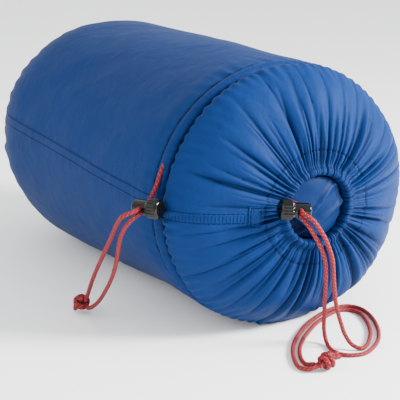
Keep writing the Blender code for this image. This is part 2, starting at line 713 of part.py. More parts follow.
def rounded_box(size, radius, place):
    """A box with its upright edges rounded, standing on local Z = 0."""
    bm = bmesh.new()
    bmesh.ops.create_cube(bm, size=1.0)
    bmesh.ops.scale(bm, vec=size, verts=bm.verts)
    bmesh.ops.translate(bm, vec=(0.0, 0.0, size[2] / 2), verts=bm.verts)
    upright = [edge for edge in bm.edges if abs(edge.verts[0].co.z - edge.verts[1].co.z) > size[2] / 2]
    bmesh.ops.bevel(bm, geom=upright, offset=radius, segments=3, affect="EDGES", profile=0.5)
    bmesh.ops.transform(bm, matrix=place, verts=bm.verts)
    return bm


def make_slider(prefix, turn):
    """A zip slider with its pull lying flat along the zip, hinged at the slider."""
    metal = make_material(prefix + "_metal", (0.12, 0.12, 0.13), 0.4, 1.0)
    base = ZIP_X + TAPE_THICKNESS + GAP
    place = edge_matrix(turn, base)
    add_object(prefix, rounded_box(SLIDER_SIZE, 0.0030, place), metal)
    top = edge_matrix(turn, base + SLIDER_SIZE[2] + GAP)
    shift = Matrix.Translation((PULL_SIZE[0] / 2, 0.0, 0.0))
    pull = rounded_box(PULL_SIZE, 0.0020, shift)
    name = prefix + "_pull"
    item = add_object(name, pull, make_material(name + "_metal", (0.12, 0.12, 0.13), 0.4, 1.0))
    item.matrix_world = top


def make_zip():
    tape = make_material("tape_fabric", (0.03, 0.035, 0.05), 0.8)
    chain = make_material("chain_plastic", (0.02, 0.02, 0.022), 0.45)
    spiral_band("bag_zip_tape", ZIP_X, ZIP_X + TAPE_THICKNESS, TAPE_HALF_WIDTH,
                ZIP_START - TAPE_OVERRUN, ZIP_END, tape)
    chain_x = ZIP_X + TAPE_THICKNESS + GAP
    spiral_band("bag_zip_chain", chain_x, chain_x + CHAIN_THICKNESS, CHAIN_HALF_WIDTH,
                ZIP_START + CHAIN_INSET[0], ZIP_END - CHAIN_INSET[1], chain)
    make_slider("bag_zip_slider", ZIP_START)


def make_hanging_loop(name, turn):
    """Webbing loop sewn into the bag's foot end at the back of the roll."""
    x_low = ROLL_STATIONS[0][0] - LOOP_DEPTH
    scale = ROLL_STATIONS[0][1]
    angle = 2 * math.pi * turn
    place = Matrix.Translation(roll_point(x_low, scale, spiral_radius(angle), angle))
    bm = bmesh.new()
    end = LOOP_DEPTH - GAP
    outer = ((-0.0100, end), (-0.0100, 0.0015), (-0.0078, 0.0), (0.0078, 0.0), (0.0100, 0.0015),
             (0.0100, end))
    inner = ((0.0088, end), (0.0088, 0.0020), (0.0074, 0.0011), (-0.0074, 0.0011),
             (-0.0088, 0.0020), (-0.0088, end))
    sides = []
    for z in (-LOOP_HALF_WIDTH, LOOP_HALF_WIDTH):
        sides.append([bm.verts.new((depth, across, z)) for across, depth in outer + inner])
    join_rings(bm, sides[0], sides[1])
    bm.faces.new(sides[0])
    bm.faces.new(list(reversed(sides[1])))
    bmesh.ops.transform(bm, matrix=place, verts=bm.verts)
    add_object(name, bm, make_material(name + "_webbing", (0.02, 0.02, 0.025), 0.85))


def make_fastener_tab():
    """Touch-fastener tab that covers the head end of the zip."""
    place = edge_matrix(TAB_TURN, ZIP_X + TAPE_THICKNESS + GAP)
    bm = rounded_box(TAB_SIZE, 0.0030, place)
    add_object("bag_fastener_tab", bm, make_material("tab_hooks", (0.02, 0.022, 0.03), 0.9))


clear_scene()
make_sack_body()
make_sack_base()
make_sack_collar()
make_mid_channel()
make_mouth_channel()
make_dust_flap()
make_mouth_patch()
make_mid_cord()
make_mouth_cord()
make_knot("mid_knot", MID_KNOT, (0.0058, 0.0064, 0.0066))
make_knot("mouth_knot", MOUTH_KNOT, (0.0064, 0.0074, 0.0064))
make_lock("mid", MID_LOCK_HOLE, MID_LOCK_AXIS, MID_LOCK_OUT)
make_lock("mouth", MOUTH_LOCK_HOLE, MOUTH_LOCK_AXIS, MOUTH_LOCK_OUT)
make_roll()
make_zip()
make_hanging_loop("bag_loop_left", LOOP_TURNS[0])
make_hanging_loop("bag_loop_right", LOOP_TURNS[1])
make_fastener_tab()
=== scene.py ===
import math

import bmesh
import bpy
import numpy as np
from mathutils import Matrix, Vector


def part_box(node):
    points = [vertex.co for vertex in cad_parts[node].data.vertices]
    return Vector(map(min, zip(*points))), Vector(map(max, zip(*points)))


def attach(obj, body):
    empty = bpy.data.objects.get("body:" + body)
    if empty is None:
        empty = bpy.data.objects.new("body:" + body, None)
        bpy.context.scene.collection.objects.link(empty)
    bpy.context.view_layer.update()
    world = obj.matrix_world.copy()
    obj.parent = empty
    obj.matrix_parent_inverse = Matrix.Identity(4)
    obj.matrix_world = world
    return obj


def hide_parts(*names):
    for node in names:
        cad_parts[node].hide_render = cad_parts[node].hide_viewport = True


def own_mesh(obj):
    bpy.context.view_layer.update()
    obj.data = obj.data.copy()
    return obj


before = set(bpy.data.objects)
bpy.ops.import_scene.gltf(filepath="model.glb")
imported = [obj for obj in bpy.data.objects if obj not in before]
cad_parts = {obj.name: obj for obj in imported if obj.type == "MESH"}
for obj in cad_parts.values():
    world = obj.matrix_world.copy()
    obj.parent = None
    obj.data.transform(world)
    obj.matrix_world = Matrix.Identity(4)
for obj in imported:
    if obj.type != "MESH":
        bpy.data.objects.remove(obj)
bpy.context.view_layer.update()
print("frame loaded")

bodyLow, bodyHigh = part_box("sack_body")
baseLow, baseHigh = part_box("sack_base")
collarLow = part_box("sack_collar")[0]
hemLow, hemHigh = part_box("mouth_channel")
channelLow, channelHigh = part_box("mid_channel")

sack = {
    "radius": bodyHigh[1],
    "axisHeight": (hemLow[2] + hemHigh[2]) / 2,
    "backX": baseLow[0],
    "seamX": (baseHigh[0] + bodyLow[0]) / 2,
    "foldX": (bodyHigh[0] + collarLow[0]) / 2,
    "mouthX": hemHigh[0],
    "wall": 0.0005,        # thickness shown at the drawn shells' edges
    "floorSoftness": 0.0005,
}
sack["squash"] = (bodyHigh[2] - sack["axisHeight"]) / sack["radius"]


# camera

cameraSettings = {
    "location": (0.8934, -0.5371, 0.3467),
    "target": (0.0062, 0.0137, 0.0528),
    "lens": 121.4,
    "shift": (0.0037, 0.0068),
}


def addCamera():
    data = bpy.data.cameras.new("camera")
    data.lens = cameraSettings["lens"]
    data.shift_x, data.shift_y = cameraSettings["shift"]
    camera = bpy.data.objects.new("camera", data)
    bpy.context.collection.objects.link(camera)
    camera.location = cameraSettings["location"]
    look = Vector(cameraSettings["target"]) - camera.location
    camera.rotation_euler = look.to_track_quat("-Z", "Y").to_euler()
    bpy.context.scene.camera = camera


addCamera()
print("camera placed")


# shader helpers

def addNode(tree, kind, inputs=(), **settings):
    node = tree.nodes.new(kind)
    for name, value in settings.items():
        setattr(node, name, value)
    for key, value in dict(inputs).items():
        if isinstance(value, bpy.types.NodeSocket):
            tree.links.new(value, node.inputs[key])
        else:
            node.inputs[key].default_value = value
    return node


def mathNode(tree, operation, *values):
    node = addNode(tree, "ShaderNodeMath", operation=operation)
    for socket, value in zip(node.inputs, values):
        if isinstance(value, bpy.types.NodeSocket):
            tree.links.new(value, socket)
        else:
            socket.default_value = value
    return node.outputs[0]


def mixColors(tree, share, first, second):
    node = addNode(tree, "ShaderNodeMix", data_type="RGBA")
    for socket, value in ((node.inputs[0], share), (node.inputs[6], first), (node.inputs[7], second)):
        if isinstance(value, bpy.types.NodeSocket):
            tree.links.new(value, socket)
        else:
            socket.default_value = value if isinstance(value, float) else (*value[:3], 1.0)
    return node.outputs[2]


def newGroup(name, inputs, outputs):
    tree = bpy.data.node_groups.new(name, "ShaderNodeTree")
    for label, kind, value in inputs:
        socket = tree.interface.new_socket(name=label, in_out="INPUT", socket_type="NodeSocket" + kind)
        if value is not None:
            socket.default_value = value
    for label, kind in outputs:
        tree.interface.new_socket(name=label, in_out="OUTPUT", socket_type="NodeSocket" + kind)
    return tree, tree.nodes.new("NodeGroupInput"), tree.nodes.new("NodeGroupOutput")


def makeClothGroup():
    # plain weave, soft creases, painted shade mixed in where the mesh's shade mask is high, and a slow drift
    # of the dye
    tree, given, out = newGroup(
        "clothSurface",
        [("Weave Vector", "Vector", None), ("Object Vector", "Vector", None), ("Painted Shade", "Float", 0.0),
         ("Color", "Color", (0.5, 0.5, 0.5, 1.0)), ("Shade And Tone Color", "Color", (0.1, 0.1, 0.1, 1.0)),
         ("Thread Count", "Float", 2000.0), ("Crease Size", "Float", 60.0), ("Roughness", "Float", 0.6)],
        [("Color", "Color"), ("Roughness", "Float"), ("Height", "Float")])
    scaled = addNode(tree, "ShaderNodeVectorMath", {0: given.outputs["Weave Vector"]}, operation="SCALE")
    tree.links.new(given.outputs["Thread Count"], scaled.inputs["Scale"])
    split = addNode(tree, "ShaderNodeSeparateXYZ", {0: scaled.outputs[0]})
    over = mathNode(tree, "ABSOLUTE",
                    mathNode(tree, "SINE", mathNode(tree, "MULTIPLY", split.outputs[0], math.pi)))
    under = mathNode(tree, "ABSOLUTE",
                     mathNode(tree, "SINE", mathNode(tree, "MULTIPLY", split.outputs[1], math.pi)))
    parity = addNode(tree, "ShaderNodeTexChecker",
                     {"Vector": scaled.outputs[0], "Scale": 1.0, "Color1": (1, 1, 1, 1),
                      "Color2": (0, 0, 0, 1)})
    weave = addNode(tree, "ShaderNodeMix", {0: parity.outputs["Fac"], 2: over, 3: under})
    soft = addNode(tree, "ShaderNodeTexNoise",
                   {"Vector": given.outputs["Object Vector"], "Scale": given.outputs["Crease Size"],
                    "Detail": 3.0, "Roughness": 0.55, "Distortion": 0.6})
    drift = addNode(tree, "ShaderNodeTexNoise",
                    {"Vector": given.outputs["Object Vector"], "Scale": 9.0, "Detail": 2.0})
    # painted shade: the colour darkens towards the shade colour along creases, seams and tucks
    creaseShaded = mixColors(tree, given.outputs["Painted Shade"], given.outputs["Color"], given.outputs["Shade And Tone Color"])
    driftShare = mathNode(tree, "MULTIPLY", drift.outputs["Fac"], 0.16)
    aged = mixColors(tree, driftShare, creaseShaded, given.outputs["Shade And Tone Color"])
    threadShare = mathNode(tree, "MULTIPLY", mathNode(tree, "SUBTRACT", 1.0, weave.outputs[0]), 0.14)
    shaded = mixColors(tree, threadShare, aged, given.outputs["Shade And Tone Color"])
    tree.links.new(shaded, out.inputs["Color"])
    rough = mathNode(tree, "ADD", given.outputs["Roughness"],
                     mathNode(tree, "MULTIPLY", soft.outputs["Fac"], 0.12))
    tree.links.new(rough, out.inputs["Roughness"])
    fine = addNode(tree, "ShaderNodeTexNoise",
                   {"Vector": given.outputs["Object Vector"], "Scale": 210.0, "Detail": 3.0,
                    "Distortion": 1.2})
    creases = mathNode(tree, "ADD", mathNode(tree, "MULTIPLY", soft.outputs["Fac"], 0.0017),
                       mathNode(tree, "MULTIPLY", fine.outputs["Fac"], 0.00026))
    height = mathNode(tree, "ADD", mathNode(tree, "MULTIPLY", weave.outputs[0], 0.00004), creases)
    tree.links.new(height, out.inputs["Height"])
    return tree


def makeBraidGroup():
    # two families of strands crossing round a cord; UV is (turns round, metres along)
    tree, given, out = newGroup(
        "braidSurface",
        [("Cord Vector", "Vector", None), ("Strands", "Float", 8.0), ("Pitch", "Float", 0.0085),
         ("Color", "Color", (0.5, 0.1, 0.1, 1.0)), ("Tracer Color", "Color", (0.8, 0.5, 0.5, 1.0)),
         ("Gap Shade Color", "Color", (0.1, 0.0, 0.0, 1.0))],
        [("Color", "Color"), ("Height", "Float")])
    split = addNode(tree, "ShaderNodeSeparateXYZ", {0: given.outputs["Cord Vector"]})
    turn = mathNode(tree, "DIVIDE", split.outputs[1], given.outputs["Pitch"])
    left = mathNode(tree, "MULTIPLY", mathNode(tree, "ADD", split.outputs[0], turn), given.outputs["Strands"])
    right = mathNode(tree, "MULTIPLY", mathNode(tree, "SUBTRACT", split.outputs[0], turn),
                     given.outputs["Strands"])
    ridges = []
    for phase in (left, right):
        wave = mathNode(tree, "SINE", mathNode(tree, "MULTIPLY", phase, math.pi))
        ridges.append(mathNode(tree, "ABSOLUTE", wave))
    relief = mathNode(tree, "MULTIPLY", ridges[0], ridges[1])
    # every third strand of one family is pale, and shows where it passes over
    strand = mathNode(tree, "FLOOR", left)
    third = mathNode(tree, "LESS_THAN", mathNode(tree, "MODULO", mathNode(tree, "ABSOLUTE", strand), 3.0),
                     0.5)
    crossing = mathNode(tree, "FLOOR", right)
    shown = mathNode(tree, "LESS_THAN", mathNode(tree, "MODULO", mathNode(tree, "ABSOLUTE", crossing), 2.0),
                     0.5)
    tracer = mathNode(tree, "MULTIPLY", mathNode(tree, "MULTIPLY", third, shown),
                      mathNode(tree, "GREATER_THAN", relief, 0.30))
    dyed = mixColors(tree, mathNode(tree, "MULTIPLY", tracer, 0.8), given.outputs["Color"],
                     given.outputs["Tracer Color"])
    # painted shade darkens the gaps between the raised strands
    gap = mathNode(tree, "SUBTRACT", 1.0, mathNode(tree, "POWER", relief, 0.5))
    shaded = mixColors(tree, mathNode(tree, "MULTIPLY", gap, 0.75), dyed, given.outputs["Gap Shade Color"])
    tree.links.new(shaded, out.inputs["Color"])
    tree.links.new(mathNode(tree, "MULTIPLY", relief, 0.00018), out.inputs["Height"])
    return tree


def makeGrainGroup():
    # fine moulding or casting grain
    tree, given, out = newGroup(
        "fineGrain",
        [("Vector", "Vector", None), ("Size", "Float", 900.0), ("Roughness", "Float", 0.3),
         ("Spread", "Float", 0.1), ("Depth", "Float", 0.00002)],
        [("Roughness", "Float"), ("Height", "Float"), ("Mask", "Float")])
    fine = addNode(tree, "ShaderNodeTexNoise",
                   {"Vector": given.outputs["Vector"], "Scale": given.outputs["Size"], "Detail": 2.0})
    broad = addNode(tree, "ShaderNodeTexNoise",
                    {"Vector": given.outputs["Vector"], "Scale": 140.0, "Detail": 3.0})
    spread = mathNode(tree, "MULTIPLY", broad.outputs["Fac"], given.outputs["Spread"])
    tree.links.new(mathNode(tree, "ADD", given.outputs["Roughness"], spread), out.inputs["Roughness"])
    tree.links.new(mathNode(tree, "MULTIPLY", fine.outputs["Fac"], given.outputs["Depth"]),
                   out.inputs["Height"])
    tree.links.new(broad.outputs["Fac"], out.inputs["Mask"])
    return tree


clothGroup = makeClothGroup()
braidGroup = makeBraidGroup()
grainGroup = makeGrainGroup()


def newMaterial(name):
    material = bpy.data.materials.new(name)
    material.use_nodes = True
    tree = material.node_tree
    return material, tree, tree.nodes["Principled BSDF"]


def bumpFrom(tree, height, strength):
    bump = addNode(tree, "ShaderNodeBump", {"Strength": strength, "Distance": 1.0, "Height": height})
    return bump.outputs[0]


def clothMaterial(name, color, shadeAndToneColor, threadCount, roughness, sheen=0.0, creaseSize=60.0, bump=0.6):
    material, tree, shader = newMaterial(name)
    places = addNode(tree, "ShaderNodeTexCoord")
    # the mesh's painted shade mask, high in creases, seams and tucks
    paintedShade = addNode(tree, "ShaderNodeAttribute", attribute_name="paintedShade")
    cloth = addNode(tree, "ShaderNodeGroup", node_tree=clothGroup)
    for key, value in (("Weave Vector", places.outputs["UV"]), ("Object Vector", places.outputs["Object"]),
                       ("Painted Shade", paintedShade.outputs["Fac"])):
        tree.links.new(value, cloth.inputs[key])
    cloth.inputs["Color"].default_value = (*color, 1.0)
    cloth.inputs["Shade And Tone Color"].default_value = (*shadeAndToneColor, 1.0)
    cloth.inputs["Thread Count"].default_value = threadCount
    cloth.inputs["Crease Size"].default_value = creaseSize
    cloth.inputs["Roughness"].default_value = roughness
    tree.links.new(cloth.outputs["Color"], shader.inputs["Base Color"])
    tree.links.new(cloth.outputs["Roughness"], shader.inputs["Roughness"])
    tree.links.new(bumpFrom(tree, cloth.outputs["Height"], bump), shader.inputs["Normal"])
    shader.inputs["Sheen Weight"].default_value = sheen
    shader.inputs["Sheen Roughness"].default_value = 0.4
    shader.inputs["Specular IOR Level"].default_value = 0.06
    return material


def cordMaterial(name, color, tracerColor, gapShadeColor):
    material, tree, shader = newMaterial(name)
    places = addNode(tree, "ShaderNodeTexCoord")
    braid = addNode(tree, "ShaderNodeGroup", node_tree=braidGroup)
    tree.links.new(places.outputs["UV"], braid.inputs["Cord Vector"])
    braid.inputs["Color"].default_value = (*color, 1.0)
    braid.inputs["Tracer Color"].default_value = (*tracerColor, 1.0)
    braid.inputs["Gap Shade Color"].default_value = (*gapShadeColor, 1.0)
    tree.links.new(braid.outputs["Color"], shader.inputs["Base Color"])
    tree.links.new(bumpFrom(tree, braid.outputs["Height"], 0.7), shader.inputs["Normal"])
    shader.inputs["Roughness"].default_value = 0.6
    shader.inputs["Specular IOR Level"].default_value = 0.15
    return material


def grainMaterial(name, color, wornColor, roughness, metallic=0.0, spread=0.1, depth=0.00002, coat=0.0,
                  specular=0.5):
    material, tree, shader = newMaterial(name)
    places = addNode(tree, "ShaderNodeTexCoord")
    grain = addNode(tree, "ShaderNodeGroup", node_tree=grainGroup)
    tree.links.new(places.outputs["Object"], grain.inputs["Vector"])
    grain.inputs["Roughness"].default_value = roughness
    grain.inputs["Spread"].default_value = spread
    grain.inputs["Depth"].default_value = depth
    share = mathNode(tree, "MULTIPLY", grain.outputs["Mask"], 0.4)
    tree.links.new(mixColors(tree, share, color, wornColor), shader.inputs["Base Color"])
    tree.links.new(grain.outputs["Roughness"], shader.inputs["Roughness"])
    tree.links.new(bumpFrom(tree, grain.outputs["Height"], 0.5), shader.inputs["Normal"])
    shader.inputs["Metallic"].default_value = metallic
    shader.inputs["Specular IOR Level"].default_value = specular
    shader.inputs["Coat Weight"].default_value = coat
    shader.inputs["Coat Roughness"].default_value = 0.08
    return material


dyesAndShades = {
    "sack": (0.0019, 0.0205, 0.099),
    # dark colour for painted shade in creases, also used for the dye drift and the weave
    "sackShadeAndTone": (0.0002, 0.0024, 0.014),
    "flap": (0.0012, 0.0135, 0.066),
    "thread": (0.0008, 0.0065, 0.034),
    "cord": (0.215, 0.0125, 0.0170),
    "cordTracer": (0.50, 0.150, 0.160),
    "cordGapShade": (0.020, 0.0008, 0.0012),
}
sackCloth = clothMaterial("sackPolyester", dyesAndShades["sack"], dyesAndShades["sackShadeAndTone"], 2200.0, 0.50)
hemCloth = clothMaterial("hemPolyester", dyesAndShades["sack"], dyesAndShades["sackShadeAndTone"], 2200.0, 0.44, creaseSize=140.0)
flapCloth = clothMaterial("flapPolyester", dyesAndShades["flap"], dyesAndShades["sackShadeAndTone"], 2200.0, 0.40, creaseSize=45.0)
sewingThread = grainMaterial("sewingThread", dyesAndShades["thread"], dyesAndShades["sackShadeAndTone"], 0.6, depth=0.00005,
                             specular=0.04)
redBraid = cordMaterial("redBraid", dyesAndShades["cord"], dyesAndShades["cordTracer"], dyesAndShades["cordGapShade"])
lockPlastic = grainMaterial("lockPlastic", (0.0012, 0.0012, 0.0014), (0.0030, 0.0028, 0.0026), 0.10, coat=0.0,
                            spread=0.06, depth=0.000006, specular=0.24)
springSteel = grainMaterial("springSteel", (0.60, 0.60, 0.61), (0.35, 0.34, 0.33), 0.22, metallic=1.0)
print("materials made")


# mesh helpers

def smoothStep(low, high, value):
    share = np.clip((value - low) / (high - low), 0.0, 1.0)
    return share * share * (3.0 - 2.0 * share)


def hump(value, width):
    return np.exp(-(value / width) ** 2)


def waves(angle, along, orders, lengths, seed, count=7):
    # slow bulges that close round the sack
    rng = np.random.default_rng(seed)
    total = np.zeros(np.broadcast(angle, along).shape)
    for _ in range(count):
        order = rng.integers(orders[0], orders[1] + 1)
        wavelength = rng.uniform(*lengths) * rng.choice((-1.0, 1.0))
        total = total + np.sin(order * angle + 2 * math.pi * along / wavelength + rng.uniform(0, 2 * math.pi))
    return total / math.sqrt(count)


def sackPoints(x, radius, angle):
    # places round the sack's axis, flattened where it rests on the floor
    y = radius * np.cos(angle)
    z = sack["axisHeight"] + sack["squash"] * radius * np.sin(angle)
    inset = np.maximum(sack["radius"] - radius, 0.0) * 0.06
    soft = sack["floorSoftness"]
    z = 0.5 * (z + inset + np.sqrt((z - inset) ** 2 + soft ** 2))
    return np.stack(np.broadcast_arrays(x, y, z), axis=-1)


def meshObject(name, points, faces, material, uv=None, paintedShade=None, smooth=True):
    mesh = bpy.data.meshes.new(name)
    mesh.from_pydata(points.tolist() if hasattr(points, "tolist") else points, [], faces)
    if uv is not None:
        layer = mesh.uv_layers.new(name="UVMap")
        layer.data.foreach_set("uv", np.asarray(uv, dtype=np.float32).ravel())
    if paintedShade is not None:
        # painted shade mask, read by the cloth materials
        attribute = mesh.attributes.new("paintedShade", "FLOAT", "POINT")
        attribute.data.foreach_set("value", np.asarray(paintedShade, dtype=np.float32))
    if smooth:
        mesh.shade_smooth()
    mesh.materials.append(material)
    item = bpy.data.objects.new(name, mesh)
    bpy.context.collection.objects.link(item)
    return item


def gridNormals(points, closed):
    # unit normals of a (rows, columns, 3) grid, by central differences
    down = np.gradient(points, axis=0)
    if closed:
        across = np.roll(points, -1, axis=1) - np.roll(points, 1, axis=1)
    else:
        across = np.gradient(points, axis=1)
    normals = np.cross(across, down)
    return normals / np.maximum(np.linalg.norm(normals, axis=2, keepdims=True), 1e-12)


def gridShell(name, points, material, uvs, paintedShade, wall, skip=6, closed=True):
    # a cloth skin with a plainer inner skin, joined along its edges
    rows, columns = points.shape[:2]
    paintedShade = np.broadcast_to(paintedShade, (rows, columns))
    normals = gridNormals(points, closed)
    kept = sorted(set(range(0, rows, skip)) | {rows - 1})
    inner = points[kept] - normals[kept] * wall
    index = np.arange(rows * columns).reshape(rows, columns)
    innerIndex = rows * columns + np.arange(len(kept) * columns).reshape(len(kept), columns)
    faces = []
    faceUvs = []

    def strip(upper, lower, uvUpper, uvLower):
        count = columns if closed else columns - 1
        for column in range(count):
            other = (column + 1) % columns
            faces.append((upper[column], upper[other], lower[other], lower[column]))
            faceUvs.extend((uvUpper[column], uvUpper[column + 1], uvLower[column + 1], uvLower[column]))

    def uvRow(row):
        line = [tuple(pair) for pair in uvs[row]]
        if closed:
            line.append((line[0][0] + uvTurn, line[0][1]))
        return line

    uvTurn = 2 * math.pi * sack["radius"]
    lines = [uvRow(row) for row in range(rows)]
    for row in range(rows - 1):
        strip(index[row], index[row + 1], lines[row], lines[row + 1])
    for place in range(len(kept) - 1):
        strip(innerIndex[place + 1], innerIndex[place], lines[kept[place + 1]], lines[kept[place]])
    strip(innerIndex[0], index[0], lines[0], lines[0])
    strip(index[-1], innerIndex[-1], lines[-1], lines[-1])
    if not closed:
        for place in range(len(kept) - 1):
            for column, turn in ((0, 1), (columns - 1, -1)):
                outer = list(index[kept[place]:kept[place + 1] + 1, column])
                ring = outer + [innerIndex[place + 1, column], innerIndex[place, column]]
                ring = ring[::-1] if turn < 0 else ring
                faces.append(tuple(ring))
                edge = 0 if column == 0 else -1
                faceUvs.extend([lines[kept[place]][edge]] * len(ring))
    allPoints = np.concatenate([points.reshape(-1, 3), inner.reshape(-1, 3)])
    folds = np.concatenate([paintedShade.ravel(), paintedShade[kept].ravel()])
    faces = [tuple(int(corner) for corner in face) for face in faces]
    return meshObject(name, allPoints, faces, material, faceUvs, folds)


# cords

cords = {
    "radius": 0.0015,
    "sides": 20,
    "ringStep": 0.0006,
    "strands": 8,
    "pitch": 0.0085,
    "relief": 0.055,          # share of the radius
    "strandOffset": 0.00175,
}
midLock = {
    "hole": Vector((0.1385, -0.1111, 0.0997)),
    "axis": Vector((-0.934, -0.352, -0.060)).normalized(),
    "out": Vector((0.356, -0.904, -0.237)).normalized(),
}
mouthLock = {
    "hole": Vector((0.1973, -0.0264, 0.0992)),
    "axis": Vector((0.285, 0.950, -0.124)).normalized(),
    "out": Vector((0.937, -0.303, -0.173)).normalized(),
}
midRoutes = {
    "leadA": ((0.1327, -0.0905, 0.1283), (0.1345, -0.0955, 0.1215), (0.1360, -0.1000, 0.1130)),
    "tailA": ((0.1375, -0.1270, 0.0955), (0.1320, -0.1280, 0.0895), (0.1205, -0.1275, 0.0750),
              (0.1065, -0.1265, 0.0590), (0.0920, -0.1250, 0.0425), (0.0795, -0.1225, 0.0290),
              (0.0690, -0.1200, 0.0175), (0.0640, -0.1190, 0.0120)),
    "leadB": ((0.1327, -0.0982, 0.0885), (0.1335, -0.0998, 0.0935)),
    "tailB": ((0.1405, -0.1235, 0.0920), (0.1350, -0.1245, 0.0860), (0.1290, -0.1245, 0.0775),
              (0.1225, -0.1235, 0.0625), (0.1130, -0.1220, 0.0470), (0.1000, -0.1200, 0.0330),
              (0.0830, -0.1185, 0.0170), (0.0710, -0.1185, 0.0090), (0.0655, -0.1185, 0.0070)),
    "knot": (0.0578, -0.1190, 0.0068),
    "ends": (1, 0),
}
mouthRoutes = {
    "leadA": ((0.1822, -0.0268, 0.0885), (0.1845, -0.0262, 0.0940)),
    "tailA": ((0.2105, -0.0280, 0.0920), (0.2120, -0.0240, 0.0850), (0.2130, -0.0195, 0.0765),
              (0.2125, -0.0150, 0.0655), (0.2100, -0.0122, 0.0505), (0.2065, -0.0100, 0.0375),
              (0.2020, -0.0065, 0.0240), (0.1980, -0.0035, 0.0105), (0.1995, -0.0030, 0.0037),
              (0.2070, -0.0062, 0.0016), (0.2175, -0.0090, 0.0016), (0.2255, -0.0062, 0.0016),
              (0.2295, 0.0005, 0.0016), (0.2300, 0.0080, 0.0016), (0.2250, 0.0185, 0.0016),
              (0.2160, 0.0300, 0.0016), (0.2030, 0.0410, 0.0016), (0.1865, 0.0510, 0.0016),
              (0.1705, 0.0575, 0.0016), (0.1585, 0.0590, 0.0016), (0.1505, 0.0548, 0.0016),
              (0.1485, 0.0462, 0.0016), (0.1510, 0.0340, 0.0016), (0.1590, 0.0170, 0.0016),
              (0.1700, 0.0000, 0.0016), (0.1840, -0.0170, 0.0016), (0.1990, -0.0305, 0.0016),
              (0.2140, -0.0400, 0.0016), (0.2265, -0.0450, 0.0016), (0.2345, -0.0430, 0.0025),
              (0.2375, -0.0375, 0.0045)),
    "leadB": ((0.1826, -0.0255, 0.1045), (0.1850, -0.0254, 0.1025)),
    "tailB": ((0.2125, -0.0262, 0.0962), (0.2150, -0.0215, 0.0890), (0.2160, -0.0165, 0.0795),
              (0.2155, -0.0115, 0.0675), (0.2130, -0.0080, 0.0520), (0.2110, -0.0052, 0.0410),
              (0.2095, -0.0020, 0.0300), (0.2105, 0.0010, 0.0190), (0.2135, 0.0030, 0.0100),
              (0.2185, 0.0055, 0.0040), (0.2225, 0.0102, 0.0018), (0.2195, 0.0170, 0.0016),
              (0.2100, 0.0275, 0.0016), (0.1975, 0.0378, 0.0016), (0.1815, 0.0472, 0.0016),
              (0.1665, 0.0525, 0.0016), (0.1580, 0.0508, 0.0016), (0.1545, 0.0440, 0.0016),
              (0.1570, 0.0335, 0.0016), (0.1650, 0.0170, 0.0016), (0.1760, 0.0008, 0.0016),
              (0.1890, -0.0150, 0.0016), (0.2020, -0.0268, 0.0016), (0.2150, -0.0350, 0.0016),
              (0.2245, -0.0380, 0.0016), (0.2305, -0.0345, 0.0030)),
    "knot": (0.2370, -0.0300, 0.0066),
    "ends": (0, 1),
}
channelCord = {
    "midX": (channelLow[0] + channelHigh[0]) / 2,
    "midRadius": 0.0970,
    "midSpan": (-172.2, 154.2),
    "mouthX": sack["mouthX"] - 0.0036,
    "mouthRadius": 0.0275,
    "mouthSpan": (-156.8, 148.8),
}


def smoothCurve(points, samples=16):
    # centripetal Catmull-Rom through the route's points
    route = [np.array(point, dtype=float) for point in points]
    route = [2 * route[0] - route[1]] + route + [2 * route[-1] - route[-2]]
    curve = []
    for a, b, c, d in zip(route, route[1:], route[2:], route[3:]):
        knots = [0.0]
        for first, second in ((a, b), (b, c), (c, d)):
            knots.append(knots[-1] + math.sqrt(np.linalg.norm(second - first)))
        t0, t1, t2, t3 = knots
        for t in np.linspace(t1, t2, samples, endpoint=False):
            a1 = (t1 - t) / (t1 - t0) * a + (t - t0) / (t1 - t0) * b
            a2 = (t2 - t) / (t2 - t1) * b + (t - t1) / (t2 - t1) * c
            a3 = (t3 - t) / (t3 - t2) * c + (t - t2) / (t3 - t2) * d
            b1 = (t2 - t) / (t2 - t0) * a1 + (t - t0) / (t2 - t0) * a2
            b2 = (t3 - t) / (t3 - t1) * a2 + (t - t1) / (t3 - t1) * a3
            curve.append((t2 - t) / (t2 - t1) * b1 + (t - t1) / (t2 - t1) * b2)
    curve.append(route[-2])
    return np.array(curve)


def evenPoints(curve, step):
    lengths = np.concatenate([[0.0], np.cumsum(np.linalg.norm(np.diff(curve, axis=0), axis=1))])
    count = max(3, round(lengths[-1] / step) + 1)
    places = np.linspace(0.0, lengths[-1], count)
    points = np.stack([np.interp(places, lengths, curve[:, axis]) for axis in range(3)], axis=1)
    return points, places


def tubeRings(points, sides):
    # parallel frames along a line, with no twist
    tangents = np.gradient(points, axis=0)
    tangents /= np.linalg.norm(tangents, axis=1, keepdims=True)
    side = np.cross(tangents[0], (0.0, 0.0, 1.0))
    if np.linalg.norm(side) < 0.1:
        side = np.cross(tangents[0], (0.0, 1.0, 0.0))
    frames = []
    for tangent in tangents:
        side = side - tangent * side.dot(tangent)
        side /= np.linalg.norm(side)
        frames.append((side.copy(), np.cross(tangent, side)))
    turns = 2 * math.pi * np.arange(sides) / sides
    rings = []
    for (first, second) in frames:
        rings.append(np.cos(turns)[:, None] * first + np.sin(turns)[:, None] * second)
    return np.array(rings), turns


